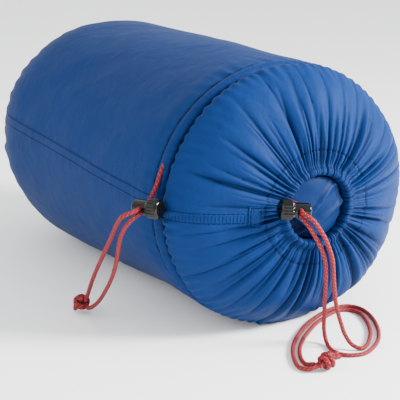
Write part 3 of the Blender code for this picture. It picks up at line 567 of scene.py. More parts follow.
def braidedTubes(name, lines, radius, material, sides=None):
    # cords with raised crossing strands; several lines make one piece
    sides = sides or cords["sides"]
    allPoints, faces, faceUvs = [], [], []
    for line in lines:
        points, places = evenPoints(np.asarray(line, dtype=float), cords["ringStep"])
        rings, turns = tubeRings(points, sides)
        phase = places[:, None] / cords["pitch"]
        turn = turns[None, :] / (2 * math.pi)
        left = np.abs(np.sin(math.pi * cords["strands"] * (turn + phase)))
        right = np.abs(np.sin(math.pi * cords["strands"] * (turn - phase)))
        swell = radius * (1.0 - cords["relief"] + 2 * cords["relief"] * left * right)
        ends = np.minimum(places, places[-1] - places)
        swell = swell * np.sqrt(1.0 - (1.0 - np.clip(ends / 0.0009, 0.0, 1.0)) ** 2 * 0.75)[:, None]
        surface = points[:, None, :] + rings * swell[:, :, None]
        start = sum(len(block) for block in allPoints)
        count = len(points)
        allPoints.append(surface.reshape(-1, 3))
        allPoints.append(points[[0, -1]])
        index = start + np.arange(count * sides).reshape(count, sides)
        caps = (start + count * sides, start + count * sides + 1)
        for row in range(count - 1):
            for column in range(sides):
                other = (column + 1) % sides
                faces.append((int(index[row, other]), int(index[row, column]),
                              int(index[row + 1, column]), int(index[row + 1, other])))
                u, v = column / sides, (column + 1) / sides
                faceUvs.extend(((v, places[row]), (u, places[row]), (u, places[row + 1]),
                                (v, places[row + 1])))
        for row, cap in ((0, caps[0]), (count - 1, caps[1])):
            for column in range(sides):
                other = (column + 1) % sides
                ring = (int(index[row, column]), int(index[row, other]), cap)
                faces.append(ring if row == 0 else (ring[1], ring[0], cap))
                faceUvs.extend(((column / sides, places[row]),) * 3)
    return meshObject(name, np.concatenate(allPoints), faces, material, faceUvs)


def strandRoute(start, lead, lock, side, tail):
    straight = [lock["hole"] + side + lock["out"] * reach for reach in (-0.0058, -0.0020, 0.0035, 0.0090)]
    return [start, *lead, *straight, *tail]


def drawcordTails(prefix, lock, routes, x, radius, span, nodes):
    side = lock["axis"].cross(lock["out"]) * cords["strandOffset"]
    tails = []
    for letter, angle, sign in (("A", span[routes["ends"][0]], 1), ("B", span[routes["ends"][1]], -1)):
        start = sackPoints(x, radius, math.radians(angle))
        route = strandRoute(start, routes["lead" + letter], lock, side * sign, routes["tail" + letter])
        curve = smoothCurve(route)
        curve[:, 2] = np.maximum(curve[:, 2], 0.0016)
        tail = braidedTubes(prefix + "Tail" + letter, [curve], cords["radius"], redBraid)
        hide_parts(nodes + "_tail_" + letter.lower())
        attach(tail, "sack")
        tails.append((tail, curve))
    return tails


midTails = drawcordTails("mid", midLock, midRoutes, channelCord["midX"], channelCord["midRadius"],
                         channelCord["midSpan"], "mid")
mouthTails = drawcordTails("mouth", mouthLock, mouthRoutes, channelCord["mouthX"], channelCord["mouthRadius"],
                           channelCord["mouthSpan"], "mouth")


def ringCord(name, x, radius, span, node):
    angles = np.radians(np.linspace(span[0], span[1], 400))
    line = sackPoints(x, radius, angles)
    line[:, 2] = np.maximum(line[:, 2], 0.0026)
    cord = braidedTubes(name, [line], cords["radius"], redBraid, sides=12)
    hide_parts(node)
    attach(cord, "sack")


ringCord("midDrawcord", channelCord["midX"], channelCord["midRadius"], (-172, 154), "mid_drawcord")
ringCord("mouthDrawcord", channelCord["mouthX"], channelCord["mouthRadius"], (-155, 147), "mouth_drawcord")


# knots

knotShape = {
    "wrapRadius": 0.0044,
    "wrapTurns": 2.1,
    "wrapPitch": 0.0032,
    "stub": 0.0075,
    "cordRadius": 0.00165,
}


def knotLines(centre, incoming, up, spread):
    # an overhand knot pulled tight: two strands through the core, wrapped by their own bight
    along = Vector(incoming).normalized()
    across = Vector(up).cross(along).normalized()
    lift = along.cross(across).normalized()
    origin = Vector(centre)

    def place(forward, sideways, upward):
        return origin + along * forward + across * sideways + lift * upward

    turns = np.linspace(0.0, 2 * math.pi * knotShape["wrapTurns"], 60)
    half = knotShape["wrapPitch"] * knotShape["wrapTurns"] / 2
    lines = []
    wrap = []
    for turn in turns:
        share = turn / turns[-1]
        radius = knotShape["wrapRadius"] * (1.0 - 0.12 * math.cos(2 * math.pi * share))
        wrap.append(place(-half + 2 * half * share + 0.0006 * math.sin(turn),
                          radius * math.cos(turn + 0.6), radius * 0.92 * math.sin(turn + 0.6)))
    bend = place(half + 0.0022, 0.0012, 0.0005)
    wrap = [place(-half - 0.0020, 0.0004, -0.0005), *wrap, bend,
            place(half + 0.0010 + knotShape["stub"] * 0.75, spread, 0.0020)]
    lines.append(smoothCurve(wrap, 4))
    for side, reach in ((1, 1.0), (-1, 0.8)):
        core = [place(-half - 0.0045, 0.00155 * side, 0.0), place(-half, 0.0014 * side, 0.0),
                place(0.0, 0.0012 * side, 0.0003 * side), place(half, 0.0014 * side, 0.0004),
                place(half + knotShape["stub"] * reach, 0.0022 * side, 0.0006 * side)]
        lines.append(smoothCurve(core, 8))
    return lines


def makeKnot(name, node, centre, incoming, up, spread):
    lines = knotLines(centre, incoming, up, spread)
    low = min(float(line[:, 2].min()) for line in lines)
    shift = max(0.0, cords["radius"] + 0.0002 - low)
    lines = [line + np.array((0.0, 0.0, shift)) for line in lines]
    knot = braidedTubes(name, lines, knotShape["cordRadius"], redBraid)
    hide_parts(node)
    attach(knot, "sack")
    return knot


midKnot = makeKnot("midKnot", "mid_knot", midRoutes["knot"], (-0.55, 0.02, -0.62), (0, 0, 1), 0.0022)
mouthKnot = makeKnot("mouthKnot", "mouth_knot", mouthRoutes["knot"], (0.05, 0.95, 0.28), (0, 0, 1), 0.002)


print("cords and knots made")


# sack body

body = {
    "columns": 300,
    "seamColumns": 60,
    "rows": 130,
    "backCorner": 0.090,
    "endX": 0.1277,          # where it is sewn to the cord channel
    "endDrop": 0.0014,
    "seamStart": math.radians(168.0),
    "seamEnd": math.radians(176.5),
    "seamHalf": 0.0041,
    "seamHeight": 0.00040,
    "stitchLine": 0.0035,
    "bulge": 0.0011,
    "dent": 0.0011,
}


def seamAngle(x):
    share = (x - sack["seamX"]) / (sack["foldX"] - sack["seamX"])
    return body["seamStart"] + (body["seamEnd"] - body["seamStart"]) * share


def roundedBack(x):
    reach = np.clip(body["backCorner"] - (x - sack["backX"]), 0.0, body["backCorner"])
    return sack["radius"] - body["backCorner"] + np.sqrt(body["backCorner"] ** 2 - reach ** 2)


def bodyRadius(x):
    return roundedBack(x) - body["endDrop"] * smoothStep(0.1120, body["endX"], x)


def broadSlack(x, angle):
    # the cloth is held at the cord channel, so it bulges less there
    held = 1.0 - 0.85 * hump(x - channelCord["midX"], 0.030)
    return body["bulge"] * waves(angle, x, (1, 3), (0.25, 0.60), 3) * held


def bodyRelief(x, angle):
    arc = (angle - seamAngle(x)) * sack["radius"]
    band = smoothStep(body["seamHalf"] + 0.0006, body["seamHalf"] - 0.0003, np.abs(arc))
    held = smoothStep(0.125, 0.100, x)
    slack = broadSlack(x, angle) + 0.00065 * waves(angle, x, (4, 9), (0.10, 0.26), 11) * held
    slack = slack + body["dent"] * np.minimum(waves(angle, x, (3, 7), (0.07, 0.18), 15) + 0.4, 0.0) * held
    relief = slack + body["seamHeight"] * band
    lines = hump(np.abs(arc) - body["stitchLine"], 0.00055)
    relief = relief - 0.00042 * lines
    sewnPucker = np.sin(2 * math.pi * x / 0.0068) + 0.6 * np.sin(2 * math.pi * x / 0.0113 + 1.0)
    relief = relief + 0.00013 * sewnPucker * hump(arc, 0.010) * (1 - 0.6 * band)
    back = x - sack["seamX"]
    backPucker = waves(angle, x, (22, 52), (0.05, 0.12), 21, 9)
    relief = relief + 0.00110 * backPucker * np.exp(-back / 0.013) - 0.0017 * hump(back, 0.0022)
    front = body["endX"] - x
    frontPucker = waves(angle, x, (36, 72), (0.04, 0.09), 27, 9)
    relief = relief + 0.00060 * frontPucker * np.exp(-front / 0.011) - 0.0009 * hump(front, 0.0018)
    # painted shade mask: darker along the stitch grooves, the sewn ends and the pucker hollows
    paintedShade = 0.5 * lines + 0.55 * hump(back, 0.0016) + 0.75 * hump(front, 0.0015)
    paintedShade = paintedShade + 0.30 * np.maximum(-frontPucker - 0.6, 0.0) * np.exp(-front / 0.008)
    return relief, paintedShade


def bodySurface(x, angle, lift=0.0):
    relief, paintedShade = bodyRelief(x, angle)
    return sackPoints(x, bodyRadius(x) + relief + lift, angle), paintedShade


def bodyColumns():
    wide = 0.075
    coarse = np.linspace(wide, 2 * math.pi - wide, body["columns"], endpoint=False)
    fine = np.linspace(-wide, wide, body["seamColumns"], endpoint=False)
    return np.concatenate([fine, coarse])


def makeBody():
    start, end = sack["seamX"] + 0.0004, body["endX"]
    share = np.linspace(0.0, 1.0, body["rows"])
    # rows crowd towards both sewn ends
    share = share - 0.12 * np.sin(2 * math.pi * share) / 2
    x = start + (end - start) * share
    offsets = bodyColumns()
    grid, paintedShade = bodySurface(x[:, None], seamAngle(x)[:, None] + offsets[None, :])
    tucks = []
    for place, drop in ((start, 0.0022), (end - 0.0001, 0.0012), (end - 0.0004, 0.0024)):
        angles = seamAngle(np.array(place)) + offsets
        tucks.append(sackPoints(place, bodyRadius(np.array(place)) - drop, angles))
    grid = np.concatenate([tucks[0][None], grid, tucks[1][None], tucks[2][None]])
    # painted shade on the tucked rows at both sewn ends
    paintedShade = np.concatenate([paintedShade[:1] * 0 + 0.9, paintedShade, paintedShade[:2] * 0 + 0.9])
    rowX = np.concatenate([x[:1], x, x[-1:] + 0.001, x[-1:] + 0.002])
    uvs = np.stack(np.broadcast_arrays(offsets[None, :] * sack["radius"], rowX[:, None]), axis=-1)
    item = gridShell("sackBody", grid, sackCloth, uvs, np.clip(paintedShade, 0, 1), sack["wall"])
    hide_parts("sack_body")
    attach(item, "sack")


makeBody()
print("sack body made")


# sack base

base = {
    "columns": 300,
    "rows": 60,
    "sag": 0.0016,
}


def baseSurface(depth, angle):
    # depth runs from the pole at 0 to the seam at 1
    full = sack["seamX"] - sack["backX"]
    corner = body["backCorner"]
    flat = sack["radius"] - corner
    sweepEnd = math.acos((corner - full) / corner)
    travel = depth * (flat + corner * sweepEnd)
    sweep = np.clip((travel - flat) / corner, 0.0, sweepEnd)
    x = sack["backX"] + corner * (1 - np.cos(sweep)) - 0.0003
    radius = np.where(travel < flat, travel, flat + corner * np.sin(sweep))
    edge = (1 - depth) * (flat + corner * sweepEnd)
    pucker = waves(angle, edge, (22, 52), (0.05, 0.12), 21, 9)
    slack = waves(angle, edge, (2, 5), (0.08, 0.16), 33) * smoothStep(0.0, 0.3, depth)
    relief = base["sag"] * 0.6 * slack + 0.00110 * pucker * np.exp(-edge / 0.014)
    relief = relief - 0.0017 * hump(edge, 0.0022)
    # painted shade mask along the seam groove and the sewn line beside it
    paintedShade = 0.55 * hump(edge, 0.0016) + 0.35 * hump(edge - 0.006, 0.0006)
    relief = relief - 0.0003 * hump(edge - 0.006, 0.0007)
    normalX = -np.cos(sweep)
    normalR = np.sin(sweep)
    return sackPoints(x + relief * normalX, radius + relief * normalR, angle), paintedShade


def closePoles(item):
    bm = bmesh.new()
    bm.from_mesh(item.data)
    bmesh.ops.remove_doubles(bm, verts=bm.verts, dist=0.000002)
    bmesh.ops.dissolve_degenerate(bm, edges=bm.edges, dist=0.000001)
    bm.to_mesh(item.data)
    bm.free()


def makeBase():
    depth = np.linspace(0.0, 1.0, base["rows"]) ** 0.8
    angles = np.linspace(0.0, 2 * math.pi, base["columns"], endpoint=False)
    grid, paintedShade = baseSurface(depth[:, None], angles[None, :])
    tuck = sackPoints(sack["seamX"] - 0.0002, roundedBack(np.array(sack["seamX"])) - 0.0022, angles)
    grid = np.concatenate([grid, tuck[None]])
    # painted shade on the tucked row at the seam
    paintedShade = np.concatenate([paintedShade, paintedShade[:1] * 0 + 0.9])
    run = np.concatenate([depth, [1.01]]) * 0.11
    flatUv = np.stack((run[:, None] * np.cos(angles), run[:, None] * np.sin(angles)), axis=-1)
    item = gridShell("sackBase", grid, sackCloth, flatUv, np.clip(paintedShade, 0, 1), sack["wall"])
    closePoles(item)
    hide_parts("sack_base")
    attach(item, "sack")


makeBase()
print("sack base made")


# cord channel round the middle

channel = {
    "columns": 520,
    "rows": 26,
    "profile": ((0.1276, 0.0956), (0.1279, 0.0979), (0.1290, 0.0989), (0.1308, 0.0996), (0.1325, 0.0999),
                (0.1345, 0.0997), (0.1363, 0.0989), (0.1376, 0.0976), (0.1382, 0.0958), (0.1382, 0.0944)),
    "pucker": 0.00042,
}


def profileCurve(points, count):
    curve = smoothCurve([(x, radius, 0.0) for x, radius in points], 12)
    lengths = np.concatenate([[0.0], np.cumsum(np.linalg.norm(np.diff(curve, axis=0), axis=1))])
    places = np.linspace(0.0, lengths[-1], count)
    x = np.interp(places, lengths, curve[:, 0])
    radius = np.interp(places, lengths, curve[:, 1])
    return x, radius, places


def profileNormals(x, radius):
    alongX, alongR = np.gradient(x), np.gradient(radius)
    length = np.maximum(np.hypot(alongX, alongR), 1e-9)
    return -alongR / length, alongX / length


def makeChannel():
    x, radius, places = profileCurve(channel["profile"], channel["rows"])
    normalX, normalR = profileNormals(x, radius)
    angles = np.linspace(0.0, 2 * math.pi, channel["columns"], endpoint=False)
    middle = np.sin(math.pi * np.clip(places / places[-1], 0, 1))[:, None]
    pucker = waves(angles[None, :], places[:, None], (40, 96), (0.03, 0.08), 41, 10)
    ridge = -np.exp(-np.abs(pucker) / 0.35)
    relief = channel["pucker"] * (ridge + 0.5) * middle
    slack = broadSlack(x[:, None], angles[None, :])
    # painted shade mask in the pucker hollows and where the channel tucks into its seams
    paintedShade = np.clip(-ridge - 0.55, 0, 1) * 0.8 + (1 - middle) ** 2 * 0.95
    grid = sackPoints(x[:, None] + relief * normalX[:, None],
                      (radius[:, None] + slack + relief * normalR[:, None]),
                      angles[None, :])
    uvs = np.stack(np.broadcast_arrays(angles[None, :] * sack["radius"], x[:, None]), axis=-1)
    item = gridShell("midChannel", grid, sackCloth, uvs, np.clip(paintedShade, 0, 1), sack["wall"])
    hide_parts("mid_channel")
    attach(item, "sack")


makeChannel()
print("middle channel made")


# gathered collar and mouth

collar = {
    "columns": 820,
    "rows": 100,
    "hemRows": 56,
    "depth": 0.044,
    "power": 1.96,
    "edgeRadius": 0.0318,
    "hemWidth": 0.0165,        # from the rim to the row of stitches
    "pleats": 98,
    "longShare": 0.28,
    "shortShare": 0.40,
    "depthLong": 0.0034,
    "seed": 12,
    "seamNear": math.radians(180.5),
    "seamFar": math.radians(178.3),
    "patchFrom": 0.0185,
    "patchTo": 0.0290,
    # each row is (number round, greatest height, reach, height as a share of spacing)
    "puffs": ((33, 0.0040, 0.100, 0.30), (70, 0.0018, 0.052, 0.28), (156, 0.00075, 0.018, 0.36)),
}


def collarProfile():
    points = [(sack["foldX"] + 0.0006, 0.0935), (sack["foldX"] + 0.0014, 0.0960),
              (sack["foldX"] + 0.0032, 0.0980), (sack["foldX"] + 0.0068, 0.0993), (0.1500, 0.0980)]
    for turn in np.linspace(math.radians(24), math.pi / 2, 12):
        along = math.sin(turn) ** (2 / collar["power"])
        across = max(math.cos(turn), 0.0) ** (2 / collar["power"])
        points.append((0.1385 + collar["depth"] * along,
                       collar["edgeRadius"] + (sack["radius"] - collar["edgeRadius"]) * across))
    points += [(0.1846, 0.0290), (0.1853, 0.0270), (0.1846, 0.0253), (0.1822, 0.0245),
               (0.1780, 0.0245), (0.1730, 0.0252)]
    return points


def densify(points):
    x, radius, places = profileCurve(points, 900)
    rim = places[int(np.argmax(x))]
    normalX, normalR = profileNormals(x, radius)
    return {"x": x, "radius": radius, "out": rim - places, "normalX": normalX, "normalR": normalR}


collarLine = densify(collarProfile())


def onProfile(out):
    # out is the distance outwards from the rim, negative inside the mouth
    flipped = collarLine["out"][::-1]
    return [np.interp(out, flipped, collarLine[key][::-1]) for key in ("x", "radius", "normalX", "normalR")]


def makePleats():
    rng = np.random.default_rng(collar["seed"])
    pleats = []
    count = collar["pleats"]
    longEvery = rng.permutation(count) / count
    for index in range(count):
        angle = 2 * math.pi * (index + rng.uniform(-0.33, 0.33)) / count
        rank = longEvery[index]
        # pleats run furthest over the top and the underside
        span = 0.058 + 0.026 * abs(math.sin(angle)) - 0.008 * max(math.cos(angle), 0.0) ** 2
        if rank < collar["longShare"]:
            reach = span * rng.uniform(0.70, 1.30)
            depth = collar["depthLong"] * rng.uniform(0.65, 1.1)
        elif rank < 1.0 - collar["shortShare"]:
            reach = span * rng.uniform(0.28, 0.60)
            depth = 0.0017 * rng.uniform(0.7, 1.15)
        else:
            reach = rng.uniform(0.007, 0.018)
            depth = 0.0010 * rng.uniform(0.7, 1.2)
        drift = 0.10 * math.sin(2 * angle + 0.7) + rng.uniform(-0.05, 0.05)
        pleats.append((angle, reach, depth, drift, rng.choice((-1.0, 1.0)), rng.uniform(0.8, 1.3)))
    return pleats


pleatList = makePleats()


def makePuffs():
    rng = np.random.default_rng(collar["seed"] + 5)
    families = []
    for count, most, reach, slope in collar["puffs"]:
        places = 2 * math.pi * (np.arange(count) + rng.uniform(-0.30, 0.30, count)) / count
        places = np.concatenate([places, places[:1] + 2 * math.pi])
        reaches = reach * rng.uniform(0.55, 1.20, count + 1)
        # gathers run furthest over the top and the underside
        unevenReach = 0.82 + 0.28 * np.abs(np.sin(places)) + 0.05 * np.maximum(np.cos(places), 0.0) ** 2
        reaches = reaches * unevenReach
        reaches[-1] = reaches[0]
        families.append((places, most, reaches, slope, rng.uniform(-0.05, 0.05)))
    return families


puffFamilies = makePuffs()


def puffs(angle, out, radius):
    # cloth billows between one gather and the next, and meets in sharp creases
    total = np.zeros(np.broadcast(angle, out).shape)
    creaseShadeMask = np.zeros_like(total)
    outer = np.maximum(out, 0.0)
    for places, most, reaches, slope, drift in puffFamilies:
        turned = angle - (0.06 * np.sin(2 * angle) + drift) * (outer / 0.08) ** 1.4
        turned = (turned - places[0]) % (2 * math.pi) + places[0]
        index = np.clip(np.searchsorted(places, turned, side="right") - 1, 0, len(places) - 2)
        gap = places[index + 1] - places[index]
        share = (turned - places[index]) / gap
        reach = reaches[index] + (reaches[index + 1] - reaches[index]) * share * share * (3 - 2 * share)
        fade = (1.0 - smoothStep(0.25 * reach, reach, outer)) * smoothStep(-0.012, -0.001, out)
        size = np.minimum(most, slope * gap * radius) * fade
        arch = np.sin(math.pi * np.clip(share, 0.0, 1.0)) ** 0.55
        total = total + size * (arch - 0.70)
        edge = np.minimum(share, 1.0 - share) * gap * radius
        # mask for painted shade along the sharp creases
        creaseShadeMask = np.maximum(creaseShadeMask, hump(edge, 0.00045) * np.clip(size / 0.0016, 0.0, 1.0))
    return total, creaseShadeMask


def gathers(angle, out, radius):
    height, creaseShadeMask = puffs(angle, out, radius)
    valleyShade = 0.8 * creaseShadeMask
    outer = np.maximum(out, 0.0)
    for place, reach, depth, drift, side, width in pleatList:
        centre = place + drift * (outer / 0.08) ** 1.4
        offset = (angle - centre + math.pi) % (2 * math.pi) - math.pi
        arc = offset * radius
        spread = (0.00045 + 0.022 * outer) * width
        start = 0.55 + 0.45 * smoothStep(0.0, 0.012, outer)
        fade = 1.0 - smoothStep(0.45 * reach, reach, outer)
        inside = 1.0 - 0.6 * smoothStep(0.002, 0.012, -out)
        strength = depth * start * fade * inside * np.minimum(1.0, 0.35 + outer / 0.020)
        cut = np.exp(-np.sqrt((arc / spread) ** 2 + 0.03))
        lip = hump(arc - side * 1.9 * spread, 1.5 * spread)
        height = height - strength * cut + 0.42 * strength * lip
        # painted shade darkens each pleat's valley
        valleyShade = valleyShade + (strength / 0.0030) * np.exp(-(np.abs(arc) / (0.45 * spread)))
    return height, np.clip(valleyShade, 0.0, 1.0)


def collarSeam(out):
    share = np.clip(out / 0.094, 0.0, 1.0)
    return collar["seamNear"] + (collar["seamFar"] - collar["seamNear"]) * share


def collarSurface(angle, out, lift=0.0):
    x, radius, normalX, normalR = onProfile(out)
    height, paintedShade = gathers(angle, out, radius)
    # the creases stop short of the cord that runs inside the rim
    height = np.maximum(height, -0.0009 - 0.14 * np.maximum(out - 0.004, 0.0))
    arc = ((angle - collarSeam(out) + math.pi) % (2 * math.pi) - math.pi) * radius
    stiff = hump(arc, 0.0085) * smoothStep(0.015, 0.024, out)
    height = height * (1 - 0.92 * stiff)
    paintedShade = paintedShade * (1 - 0.95 * stiff)
    far = collarLine["out"][0]
    slack = waves(angle, out, (3, 8), (0.07, 0.16), 57, 9)
    height = height + 0.0011 * slack * smoothStep(0.012, 0.045, out) * (1 - smoothStep(far - 0.016, far, out))
    height = height + broadSlack(x, angle) * smoothStep(0.05, far, out)
    ringPucker = waves(angle, out, (44, 90), (0.03, 0.07), 61, 9)
    height = height + 0.00085 * ringPucker * np.exp(-(far - out) / 0.014)
    onSeam = smoothStep(0.030, 0.036, out)
    band = smoothStep(0.0044, 0.0038, np.abs(arc)) * onSeam
    lines = hump(np.abs(arc) - body["stitchLine"], 0.00055) * onSeam
    height = height + 0.00038 * band - 0.00040 * lines
    sewn = hump(out - collar["hemWidth"], 0.0008)
    height = height - 0.00055 * sewn
    # painted shade mask: the stitch lines, the hem's sewn line and the deep fold back into the body
    paintedShade = paintedShade + 0.35 * lines + 0.35 * sewn + 0.95 * hump(far - out, 0.0055)
    points = sackPoints(x + (height + lift) * normalX, radius + (height + lift) * normalR, angle)
    return points, np.clip(paintedShade, 0.0, 1.0)


def collarNormals(angle, out):
    _, _, normalX, normalR = onProfile(out)
    across = np.stack(np.broadcast_arrays(normalX, normalR * np.cos(angle), normalR * np.sin(angle)), axis=-1)
    return across


def collarColumns():
    wide = 0.085
    centre = math.pi
    coarse = np.linspace(centre + wide, centre + 2 * math.pi - wide, collar["columns"] - 60, endpoint=False)
    fine = np.linspace(centre - wide, centre + wide, 60, endpoint=False)
    return np.concatenate([fine, coarse])


def makeCollar():
    far = collarLine["out"][0]
    angles = collarColumns()
    outs = np.linspace(far, collar["hemWidth"] - 0.0006, collar["rows"])
    grid, paintedShade = collarSurface(angles[None, :], outs[:, None])
    tuck, _ = collarSurface(angles[None, :], outs[-1:, None] - 0.0012, -0.0009)
    grid = np.concatenate([grid, tuck])
    paintedShade = np.concatenate([paintedShade, paintedShade[-1:]])
    rowOut = np.append(outs, outs[-1] - 0.001)
    uvs = np.stack(np.broadcast_arrays(angles[None, :] * sack["radius"], -rowOut[:, None]), axis=-1)
    item = gridShell("sackCollar", grid, sackCloth, uvs, paintedShade, sack["wall"])
    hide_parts("sack_collar")
    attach(item, "sack")
    outs = np.linspace(collar["hemWidth"], collarLine["out"][-1], collar["hemRows"])
    grid, paintedShade = collarSurface(angles[None, :], outs[:, None])
    uvs = np.stack(np.broadcast_arrays(angles[None, :] * sack["radius"], -outs[:, None]), axis=-1)
    item = gridShell("mouthHem", grid, hemCloth, uvs, paintedShade, 0.0004)
    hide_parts("mouth_channel")
    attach(item, "sack")


makeCollar()
print("collar and hem made")


# dust flap inside the mouth

flap = {
    "columns": 200,
    "rows": 70,
    "visible": 0.0230,       # radius seen through the mouth
    "tuckRadius": 0.0290,    # how far it spreads behind the hem
    "tuckX": 0.1700,
    "cutRadius": 0.0355,     # of the flat disc; a guess with the same area as the modelled surface
    "crown": 0.1838,
    "dome": 0.0034,
    "edge": 0.0212,          # where its loose side hem runs
    "edgeDrop": 0.0035,
}


def flapSurface(share, angle):
    seen = np.minimum(share / 0.80, 1.0)
    tuck = np.clip((share - 0.80) / 0.20, 0.0, 1.0)
    radius = flap["visible"] * seen
    spread = (flap["tuckRadius"] - flap["visible"]) * smoothStep(0.45, 1.0, tuck)
    across = radius * np.cos(angle)
    upward = radius * np.sin(angle)
    x = flap["crown"] - flap["dome"] * (radius / 0.022) ** 2
    diagonal = (upward * 0.80 - across * 0.60)
    along = (across * 0.80 + upward * 0.60)
    slantRidge = hump(diagonal - 0.0020 - 0.0015 * np.sin(along / 0.009), 0.0024)
    x = x + 0.0019 * slantRidge * smoothStep(-0.019, 0.0, along)
    x = x - 0.0018 * hump(diagonal + 0.0035, 0.0026) * smoothStep(0.014, -0.004, along)
    x = x + 0.0014 * hump(diagonal + 0.0100 + 0.1 * along, 0.0020)
    corner = smoothStep(0.0150, 0.0162, -(0.64 * across + 0.77 * upward))
    x = x - 0.0035 * corner + 0.0004 * hump(-(0.64 * across + 0.77 * upward) - 0.0148, 0.0005)
    x = x + 0.0007 * waves(angle, radius, (1, 4), (0.02, 0.05), 71) * share
    ragged = flap["edge"] + 0.0009 * np.sin(upward / 0.0016) * hump(upward, 0.03)
    ragged = ragged + 0.0006 * np.sin(upward / 0.0041)
    bow = ragged - 0.35 * upward ** 2 / 0.02
    step = smoothStep(bow, bow + 0.0012, across)
    x = x - flap["edgeDrop"] * step + 0.0006 * hump(across - bow + 0.0012, 0.0009)
    # painted shade mask: at the hem's step, the folded corner and where the flap tucks behind the hem
    paintedShade = 0.75 * step + 0.7 * corner + 0.3 * hump(across - bow + 0.0026, 0.0004)
    paintedShade = paintedShade + 0.9 * smoothStep(0.0, 0.4, tuck)
    x = x + (flap["tuckX"] - x) * smoothStep(0.0, 0.55, tuck)
    return sackPoints(x, radius + spread, angle), np.clip(paintedShade, 0.0, 1.0)


def makeFlap():
    share = np.linspace(1.0, 0.0, flap["rows"])
    angles = np.linspace(0.0, 2 * math.pi, flap["columns"], endpoint=False)
    grid, paintedShade = flapSurface(share[:, None], angles[None, :])
    flat = np.stack((share[:, None] * flap["tuckRadius"] * np.cos(angles),
                     share[:, None] * flap["tuckRadius"] * np.sin(angles)), axis=-1)
    item = gridShell("dustFlap", grid, flapCloth, flat, paintedShade, 0.0005)
    closePoles(item)
    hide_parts("dust_flap")
    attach(item, "sack")


makeFlap()


def makePatch():
    outs = np.linspace(collar["patchTo"], collar["patchFrom"], 26)
    halfWidth = 0.0082
    arcs = np.linspace(-halfWidth, halfWidth, 34)
    _, radius, _, _ = onProfile(outs)
    angles = collarSeam(outs)[:, None] + arcs[None, :] / radius[:, None]
    rimArc = halfWidth - np.abs(arcs)[None, :]
    rimOut = np.minimum(outs - collar["patchFrom"], collar["patchTo"] - outs)[:, None]
    near = np.minimum(rimArc, rimOut)
    lift = 0.00045 + 0.00035 * smoothStep(0.0, 0.0006, near) - 0.0003 * hump(near - 0.0016, 0.0004)
    grid, paintedShade = collarSurface(angles, outs[:, None] + angles * 0.0, lift)
    # painted shade mask, with a darker line in the groove just inside the patch edge
    paintedShade = np.clip(paintedShade * 0.5 + 0.4 * hump(near - 0.0016, 0.0005), 0, 1)
    uvs = np.stack((angles * sack["radius"], outs[:, None] + angles * 0.0), axis=-1)
    item = gridShell("mouthPatch", grid, hemCloth, uvs, paintedShade, 0.0006, skip=5, closed=False)
    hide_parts("mouth_patch")
    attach(item, "sack")


makePatch()
print("flap and patch made")


# sewing

stitching = {
    "pitch": 0.0033,
    "length": 0.0025,
    "threadRadius": 0.00022,
    "lift": 0.00006,
}


def makeStitchTree():
    tree = bpy.data.node_groups.new("stitchRun", "GeometryNodeTree")
    tree.interface.new_socket(name="Geometry", in_out="OUTPUT", socket_type="NodeSocketGeometry")
    tree.interface.new_socket(name="Geometry", in_out="INPUT", socket_type="NodeSocketGeometry")
    thread = 2 * stitching["threadRadius"]
    for label, value in (("Pitch", stitching["pitch"]), ("Length", stitching["length"]),
                         ("Width", thread), ("Height", thread)):
        tree.interface.new_socket(name=label, in_out="INPUT",
                                  socket_type="NodeSocketFloat").default_value = value
    tree.interface.new_socket(name="Thread", in_out="INPUT", socket_type="NodeSocketMaterial")
    given = tree.nodes.new("NodeGroupInput")
    out = tree.nodes.new("NodeGroupOutput")
    curve = addNode(tree, "GeometryNodeMeshToCurve", {0: given.outputs["Geometry"]})
    spaced = addNode(tree, "GeometryNodeResampleCurve",
                     {"Curve": curve.outputs[0], "Length": given.outputs["Pitch"]},
                     mode="LENGTH")
    size = addNode(tree, "ShaderNodeCombineXYZ",
                   {0: given.outputs["Length"], 1: given.outputs["Width"], 2: given.outputs["Height"]})
    bead = addNode(tree, "GeometryNodeMeshUVSphere", {"Segments": 6, "Rings": 5, "Radius": 0.5})
    shaped = addNode(tree, "GeometryNodeTransform", {"Geometry": bead.outputs[0], "Scale": size.outputs[0]})
    up = addNode(tree, "GeometryNodeInputNamedAttribute", {"Name": "up"}, data_type="FLOAT_VECTOR")
    tangent = tree.nodes.new("GeometryNodeInputTangent")
    turned = addNode(tree, "FunctionNodeAxesToRotation", {0: up.outputs[0], 1: tangent.outputs[0]},
                     primary_axis="Z", secondary_axis="X")
    placed = addNode(tree, "GeometryNodeInstanceOnPoints",
                     {"Points": spaced.outputs[0], "Instance": shaped.outputs[0],
                      "Rotation": turned.outputs[0]})
    real = addNode(tree, "GeometryNodeRealizeInstances", {0: placed.outputs[0]})
    dressed = addNode(tree, "GeometryNodeSetMaterial",
                      {"Geometry": real.outputs[0], "Material": given.outputs["Thread"]})
    tree.links.new(dressed.outputs[0], out.inputs[0])
    return tree


stitchTree = makeStitchTree()


def applyTree(item, tree, values):
    # modifier inputs are set by socket identifier, then the result becomes a plain mesh
    modifier = item.modifiers.new("nodes", "NODES")
    modifier.node_group = tree
    for socket in tree.interface.items_tree:
        if socket.in_out == "INPUT" and socket.name in values:
            modifier[socket.identifier] = values[socket.name]
    graph = bpy.context.evaluated_depsgraph_get()
    mesh = bpy.data.meshes.new_from_object(item.evaluated_get(graph))
    item.modifiers.clear()
    item.data = mesh
    mesh.shade_smooth()


